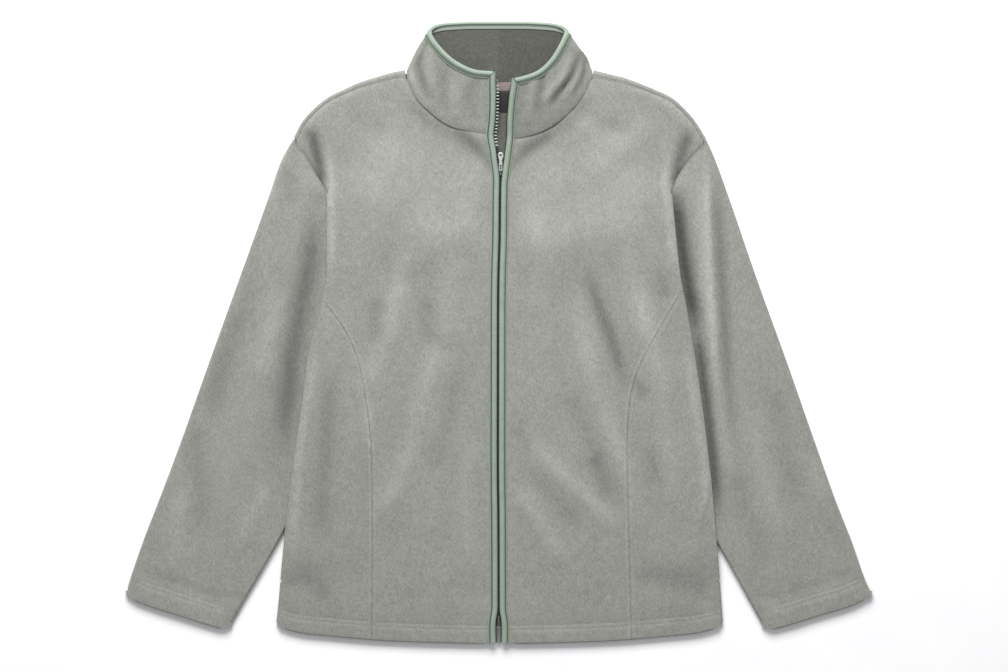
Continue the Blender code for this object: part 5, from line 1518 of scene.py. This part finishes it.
(label_x, label_top), (label_width, label_drop) = LABEL_PLACE, LABEL_SIZE
label_middle = BACK + CLOTH / 2 + SEAM_GAP + LABEL_THICK / 2
label_grid = [[(label_x + label_width * (u - 0.5), label_top - label_drop * v,
                label_middle + 0.35 * math.sin(math.pi * v) * math.sin(math.pi * u))
               for v in np.linspace(0, 1, 9)] for u in np.linspace(0, 1, 13)]
label = thicken(loft("satin_label_bare", label_grid), LABEL_THICK, label_cloth)

# %% [markdown]
# ## Slider, pull and the zip's ends
# These are small zinc castings. A casting has no sharp edge, so every piece ends with a
# bevel. Each starts as a block at its place, is shaped in edit mode, and its parts are joined
# with a Boolean so that the piece is one closed skin.

# %% Helpers for cast pieces
def block_at(low, high):
    """A block between two corners in mm, selected and ready for edit mode."""
    bpy.ops.object.select_all(action="DESELECT")
    bpy.ops.mesh.primitive_cube_add(size=1, location=[(a + b) / 2 * MM for a, b in zip(low, high)])
    bpy.ops.transform.resize(value=[(b - a) * MM for a, b in zip(low, high)])
    bpy.ops.object.transform_apply(location=True, rotation=True, scale=True)
    return bpy.context.object


def pick_faces(piece, test):
    """Leaves edit mode with only the faces selected whose middle and normal pass the test."""
    bpy.ops.object.mode_set(mode="EDIT")
    bpy.ops.mesh.select_all(action="DESELECT")
    bpy.ops.object.mode_set(mode="OBJECT")
    for face in piece.data.polygons:
        face.select = bool(test(face.center / MM, face.normal))
    bpy.ops.object.mode_set(mode="EDIT")


def combine(piece, other, operation):
    """Joins or cuts with another piece, which is then removed."""
    pick(piece)
    change = piece.modifiers.new(operation.title(), "BOOLEAN")
    change.operation = operation
    change.object = other
    change.solver = "EXACT"
    bpy.ops.object.modifier_apply(modifier=change.name)
    bpy.data.objects.remove(other)


def cast(piece, name, finish, radius, segments=3):
    """Rounds the edges of a cast piece by a radius in mm and gives its finish."""
    pick(piece)
    piece.name = name
    piece.data.name = name
    edge = piece.modifiers.new("Cast edges", "BEVEL")
    edge.width, edge.segments = radius * MM, segments
    edge.limit_method, edge.angle_limit = "ANGLE", math.radians(32)
    bpy.ops.object.modifier_apply(modifier=edge.name)
    piece.data.materials.append(finish)
    bpy.ops.object.shade_smooth_by_angle(angle=math.radians(35))
    print(name, len(piece.data.polygons), "faces")
    return piece


def node_box(name):
    """A node's lowest and highest corners in mm."""
    low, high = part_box(name)
    return np.array(low) / MM, np.array(high) / MM


print("slider box:", [v.round(1).tolist() for v in node_box("zip_slider")], "mm")

# %% [markdown]
# ## The slider
# Two plates hold the tapes between them. They are narrow at the mouth, where the closed
# chain comes out, and wide at the shoulders, where the open tapes go in. A post joins the
# plates at the top. A real slider has a bridge on its upper plate that holds the pull. Here
# it is a known fault: the last step of `make_bridge` turns the arch about its own middle, so
# it ends 4.1 mm too low, between the plates, and the pull turns over the plate unheld.

# %% Slider
PLATE, MOUTH, SHOULDER, NOSE = 1.1, 3.0, 5.6, 2.0
POST, ARCH_WIDTH, ARCH_THICK, HINGE_Y = (2.0, 2.2), 1.2, 0.9, 193.5
slider_low, slider_high = node_box("zip_slider")
plate_top = slider_high[2] - 3.1


def make_plate(z_low, z_high, mouth, shoulder):
    """A plate that widens from the mouth to its shoulders and rounds in again at the nose."""
    half = mouth / 2
    start = slider_low[1]
    plate = block_at((SLIDER_X - half, start, z_low), (SLIDER_X + half, start + 3.0, z_high))
    for reach, wide in ((slider_high[1] - NOSE - start - 3.0, shoulder), (1.2, shoulder * 0.86),
                        (0.8, mouth)):
        end = max(v.co.y for v in plate.data.vertices) / MM
        pick_faces(plate, lambda middle, normal: normal.y > 0.9 and middle.y > end - 0.01)
        now = max(abs(v.co.x / MM - SLIDER_X) for v in plate.data.vertices if v.co.y / MM > end - 0.01)
        bpy.ops.mesh.extrude_region_move(TRANSFORM_OT_translate={"value": (0, reach * MM, 0)})
        bpy.ops.transform.resize(value=(wide / 2 / now, 1, 1))
        bpy.ops.object.mode_set(mode="OBJECT")
    return plate


def make_bridge():
    """The bridge: a flat bar spun half round and pressed low. It ends 4.1 mm too low."""
    length = 9.2
    radius = (length - ARCH_THICK) / 2
    bpy.ops.object.select_all(action="DESELECT")
    bpy.ops.mesh.primitive_circle_add(vertices=4, radius=1, fill_type="NOTHING", rotation=(0, 0, math.pi / 4))
    bridge = bpy.context.object
    bpy.ops.object.transform_apply(location=True, rotation=True, scale=True)
    bpy.ops.object.mode_set(mode="EDIT")
    bpy.ops.mesh.select_all(action="SELECT")
    bpy.ops.transform.resize(value=(ARCH_WIDTH / math.sqrt(2) * MM, ARCH_THICK / math.sqrt(2) * MM, 1))
    bpy.ops.transform.translate(value=(0, radius * MM, 0))
    bpy.ops.mesh.spin(steps=12, angle=math.pi, center=(0, 0, 0), axis=(1, 0, 0))
    bpy.ops.mesh.select_all(action="SELECT")
    bpy.ops.mesh.fill_holes(sides=4)
    rise = slider_high[2] - plate_top + 0.5
    bpy.ops.transform.resize(value=(1, 1, rise / (radius + ARCH_THICK / 2)))
    bpy.ops.mesh.normals_make_consistent(inside=False)
    bpy.ops.object.mode_set(mode="OBJECT")
    if max(v.co.z for v in bridge.data.vertices) < rise / 2 * MM:
        bpy.ops.object.mode_set(mode="EDIT")
        bpy.ops.transform.resize(value=(1, -1, -1))
        bpy.ops.mesh.normals_make_consistent(inside=False)
        bpy.ops.object.mode_set(mode="OBJECT")
    bridge.location = (SLIDER_X * MM, HINGE_Y * MM, (plate_top - 0.5) * MM)
    bpy.ops.object.transform_apply(location=True, rotation=True, scale=True)
    return bridge


slider = make_plate(plate_top - PLATE, plate_top, MOUTH, SHOULDER)
under = block_at(slider_low, (slider_high[0], slider_high[1], slider_low[2] + PLATE))
post_x, post_y = POST
post = block_at((SLIDER_X - post_x / 2, slider_high[1] - post_y - 0.4, slider_low[2] + PLATE / 2),
                (SLIDER_X + post_x / 2, slider_high[1] - 0.4, plate_top - PLATE / 2))
for part in (under, post, make_bridge()):
    combine(slider, part, "UNION")
slider = cast(slider, "cast_slider", enamel, 0.16, 2)

# %% [markdown]
# ## The pull
# The pull tab is a flat drop: straight sides from the hinge, a waist, and a wider end with
# an eye. Its hinge end has a window, made for the slider's bridge to pass through.

# %% Pull tab
# From the hinge: y, half width
PULL_WIDTHS = [(-0.6, 1.7), (0.0, 2.0), (3.5, 2.0), (7.0, 2.0), (9.5, 1.8), (12.0, 1.7), (14.5, 2.3),
               (16.6, 3.0), (18.2, 3.1), (19.8, 2.8), (20.8, 2.1), (21.4, 1.3)]
PULL_WINDOW, PULL_EYE = (2.0, 0.6, 6.6), (18.0, 1.5)
pull_low, pull_high = node_box("zip_pull")


def make_pull():
    (first_y, first_half), *others = PULL_WIDTHS
    start = HINGE_Y + first_y
    pull = block_at((SLIDER_X - first_half, start, pull_low[2]),
                    (SLIDER_X + first_half, HINGE_Y + others[0][0], pull_high[2]))
    half, reached = first_half, others[0][0]
    for number, (y, wide) in enumerate(others):
        end = (HINGE_Y + reached)
        pick_faces(pull, lambda middle, normal: normal.y > 0.9 and middle.y > end - 0.01)
        if number:
            bpy.ops.mesh.extrude_region_move(
                TRANSFORM_OT_translate={"value": (0, (y - reached) * MM, 0)})
        bpy.ops.transform.resize(value=(wide / half, 1, 1))
        bpy.ops.object.mode_set(mode="OBJECT")
        half, reached = wide, y
    width, window_low, window_high = PULL_WINDOW
    combine(pull, block_at((SLIDER_X - width / 2, HINGE_Y + window_low, pull_low[2] - 1),
                           (SLIDER_X + width / 2, HINGE_Y + window_high, pull_high[2] + 1)), "DIFFERENCE")
    eye_y, radius = PULL_EYE
    bpy.ops.object.select_all(action="DESELECT")
    bpy.ops.mesh.primitive_cylinder_add(
        vertices=32, radius=radius * MM, depth=4 * MM,
        location=(SLIDER_X * MM, (HINGE_Y + eye_y) * MM, (pull_low[2] + pull_high[2]) / 2 * MM))
    eye = bpy.context.object
    bpy.ops.object.transform_apply(location=True, rotation=True, scale=True)
    combine(pull, eye, "DIFFERENCE")
    return cast(pull, "cast_pull", nickel, 0.28, 3)


pull = make_pull()

# %% [markdown]
# ## Box, pin and stops
# At the hem the zip ends in a box on one tape, with the pin of the other tape standing in
# it. A small stop is clenched on each tape above its last tooth. They are plain castings.

# %% Box, pin and stops
def make_zip_box():
    low, high = node_box("zip_box")
    box = block_at(low, high)
    pick_faces(box, lambda middle, normal: normal.z > 0.9)
    bpy.ops.mesh.inset(thickness=0.75 * MM)
    bpy.ops.transform.translate(value=(0, 0, 0.35 * MM))
    bpy.ops.mesh.inset(thickness=0.5 * MM)
    bpy.ops.transform.translate(value=(0, 0, -0.45 * MM))
    bpy.ops.object.mode_set(mode="OBJECT")
    slot = block_at(((low[0] + high[0]) / 2 - 1.0, high[1] - 3.5, low[2] + 0.9),
                    ((low[0] + high[0]) / 2 + 1.0, high[1] + 1.0, high[2] - 0.9))
    combine(box, slot, "DIFFERENCE")
    return cast(box, "cast_box", gunmetal, 0.2, 2)


def make_zip_pin():
    low, high = node_box("zip_pin")
    middle = (low + high) / 2
    bpy.ops.object.select_all(action="DESELECT")
    bpy.ops.mesh.primitive_cylinder_add(
        vertices=20, radius=(high[0] - low[0]) / 2 * MM, depth=(high[1] - low[1]) * MM,
        location=[v * MM for v in middle], rotation=(math.pi / 2, 0, 0))
    pin = bpy.context.object
    bpy.ops.object.transform_apply(location=True, rotation=True, scale=True)
    pick_faces(pin, lambda centre, normal: abs(normal.y) > 0.9)
    bpy.ops.mesh.inset(thickness=0.3 * MM)
    bpy.ops.object.mode_set(mode="OBJECT")
    return cast(pin, "cast_pin", gunmetal, 0.25, 3)


def make_stop(side):
    low, high = node_box("zip_top_stop_" + side)
    stop = block_at(low, high)
    groove = block_at((low[0] - 1, (low[1] + high[1]) / 2 - 0.25, high[2] - 0.3),
                      (high[0] + 1, (low[1] + high[1]) / 2 + 0.25, high[2] + 1))
    combine(stop, groove, "DIFFERENCE")
    return cast(stop, "cast_stop_" + side, gunmetal, 0.22, 2)


zip_box, zip_pin = make_zip_box(), make_zip_pin()
stops = {side: make_stop(side) for side in SIDES}

# %% [markdown]
# ## Stitching
# Every seam is held by lockstitch or by the twin rows of a coverstitch. A stitch is a short
# thread that dips into the cloth at both ends, so it is modelled once as a small six-sided
# bar with drawn-in ends and copied along each line, half sunk in the ditch it makes.

# %% Stitches
THREAD = (2.5, 0.46)          # length of one stitch and its width
PITCH = 3.2                   # from one stitch to the next
THREAD_SUNK = 0.02            # how far the thread's middle is under the cloth's face


def model_stitch():
    """One stitch at the origin, along Y, with its ends drawn in."""
    length, width = THREAD
    bpy.ops.object.select_all(action="DESELECT")
    bpy.ops.mesh.primitive_cylinder_add(
        vertices=6, radius=width / 2 * MM, depth=length * 0.7 * MM, rotation=(math.pi / 2, 0, 0))
    stitch = bpy.context.object
    bpy.ops.object.transform_apply(location=True, rotation=True, scale=True)
    for way in (-1, 1):
        pick_faces(stitch, lambda middle, normal: normal.y * way > 0.9)
        bpy.ops.mesh.extrude_region_move(
            TRANSFORM_OT_translate={"value": (0, way * length * 0.15 * MM, -width * 0.3 * MM)})
        bpy.ops.transform.resize(value=(0.4, 1, 0.4))
        bpy.ops.object.mode_set(mode="OBJECT")
    corners = np.array([v.co for v in stitch.data.vertices]) / MM
    faces = [tuple(face.vertices) for face in stitch.data.polygons]
    bpy.data.objects.remove(stitch)
    return corners, faces


def stitch_places(line, height, above=CLOTH / 2 - THREAD_SUNK):
    """A place for each stitch along a flat line, on the cloth's face."""
    points = walked(line[:, :2], PITCH)
    middles = (points[1:] + points[:-1]) / 2
    ends = height(points[:, 0], points[:, 1])
    rise = (ends[1:] - ends[:-1])[:, None]
    way = np.column_stack([points[1:] - points[:-1], rise])
    way /= np.linalg.norm(way, axis=1)[:, None]
    side = np.column_stack([way[:, 1], -way[:, 0], np.zeros(len(way))])
    side /= np.linalg.norm(side, axis=1)[:, None]
    up = np.cross(side, way)
    z = height(middles[:, 0], middles[:, 1])
    return [(np.array([x, y, h]) + u * above, s, w, u)
            for (x, y), h, s, w, u in zip(middles, z, side, way, up)]


def make_fleece_stitches(side):
    over_front = lambda x, y: front_height(side, x, y)
    over_sleeve = lambda x, y: sleeve_front_height(side, x, y)
    places = []
    for line in STITCH_LINES[side]:
        places += stitch_places(line, over_front)
    for line in CUFF_LINES[side]:
        places += stitch_places(line[2:-2], over_sleeve)
    return copies("coverstitch_" + side, model_stitch(), places, SIDES[side], fleece_thread)


def ring_places(grid, row, every):
    """Places along one row of a binding's grid, on its face."""
    line = grid[:, row]
    line = walked(line, every)
    fine = np.linalg.norm(line[:, None] - grid[None, :, row], axis=2).argmin(axis=1)
    normal = grid_normals(grid)[fine, row]
    normal *= np.where(normal[:, 2:3] < 0, -1, 1)
    places = []
    for a, b, up in zip(line[:-1], line[1:], normal):
        way = (b - a) / np.linalg.norm(b - a)
        side = np.cross(way, up)
        side /= np.linalg.norm(side)
        places.append(((a + b) / 2 + up * (BINDING / 2 - THREAD_SUNK), side, way, np.cross(side, way)))
    return places


DITCH_ROW = [d for d, _ in BINDING_PROFILE].index(-4.0)


def make_binding_stitches(name, grid, mirror):
    return copies(name, model_stitch(), ring_places(grid[8:-8], DITCH_ROW, PITCH), mirror, binding_thread)


coverstitch = {side: make_fleece_stitches(side) for side in SIDES}
ditch_stitch = {side: make_binding_stitches("ditch_stitch_" + side, front_grids[side], SIDES[side])
                for side in SIDES}
collar_stitch = make_binding_stitches("ditch_stitch_collar", collar_binding_grid, 1)

# %% [markdown]
# ## What each piece stands for
# Last, every piece is tied to its body, and the node of the frame that it stands for is hidden.

# %% Bodies and nodes
for side in SIDES:
    for piece, node, slot in (
            (fronts[side], "front_" + side, "fleece"), (side_fronts[side], "side_front_" + side, "fleece"),
            (sleeves[side], "sleeve_" + side, "fleece"), (tapes[side], "zip_tape_" + side, "tape"),
            (front_bindings[side], "binding_front_" + side, "binding"),
            (stops[side], "zip_top_stop_" + side, "metal")):
        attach(piece, "jacket")
        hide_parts(node)
    for piece, slot in (*((row, "tape") for row in teeth[side]), (coverstitch[side], "fleece"),
                        (ditch_stitch[side], "binding")):
        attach(piece, "jacket")
for piece, node, slot in (
        (back, "back", "fleece"), (collar, "collar", "fleece"), (collar_binding, "binding_collar", "binding"),
        (neck_tape, "neck_tape", "neck_tape"), (label, "label", "label"), (slider, "zip_slider", "slider"),
        (zip_box, "zip_box", "metal"), (zip_pin, "zip_pin", "metal")):
    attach(piece, "jacket")
    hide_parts(node)
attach(collar_stitch, "jacket")
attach(pull, "pull")
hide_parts("zip_pull")


# %% Size of the frame
print("frame  ", [round(v * 1000, 1) for v in (cad_high - cad_low)], "mm")
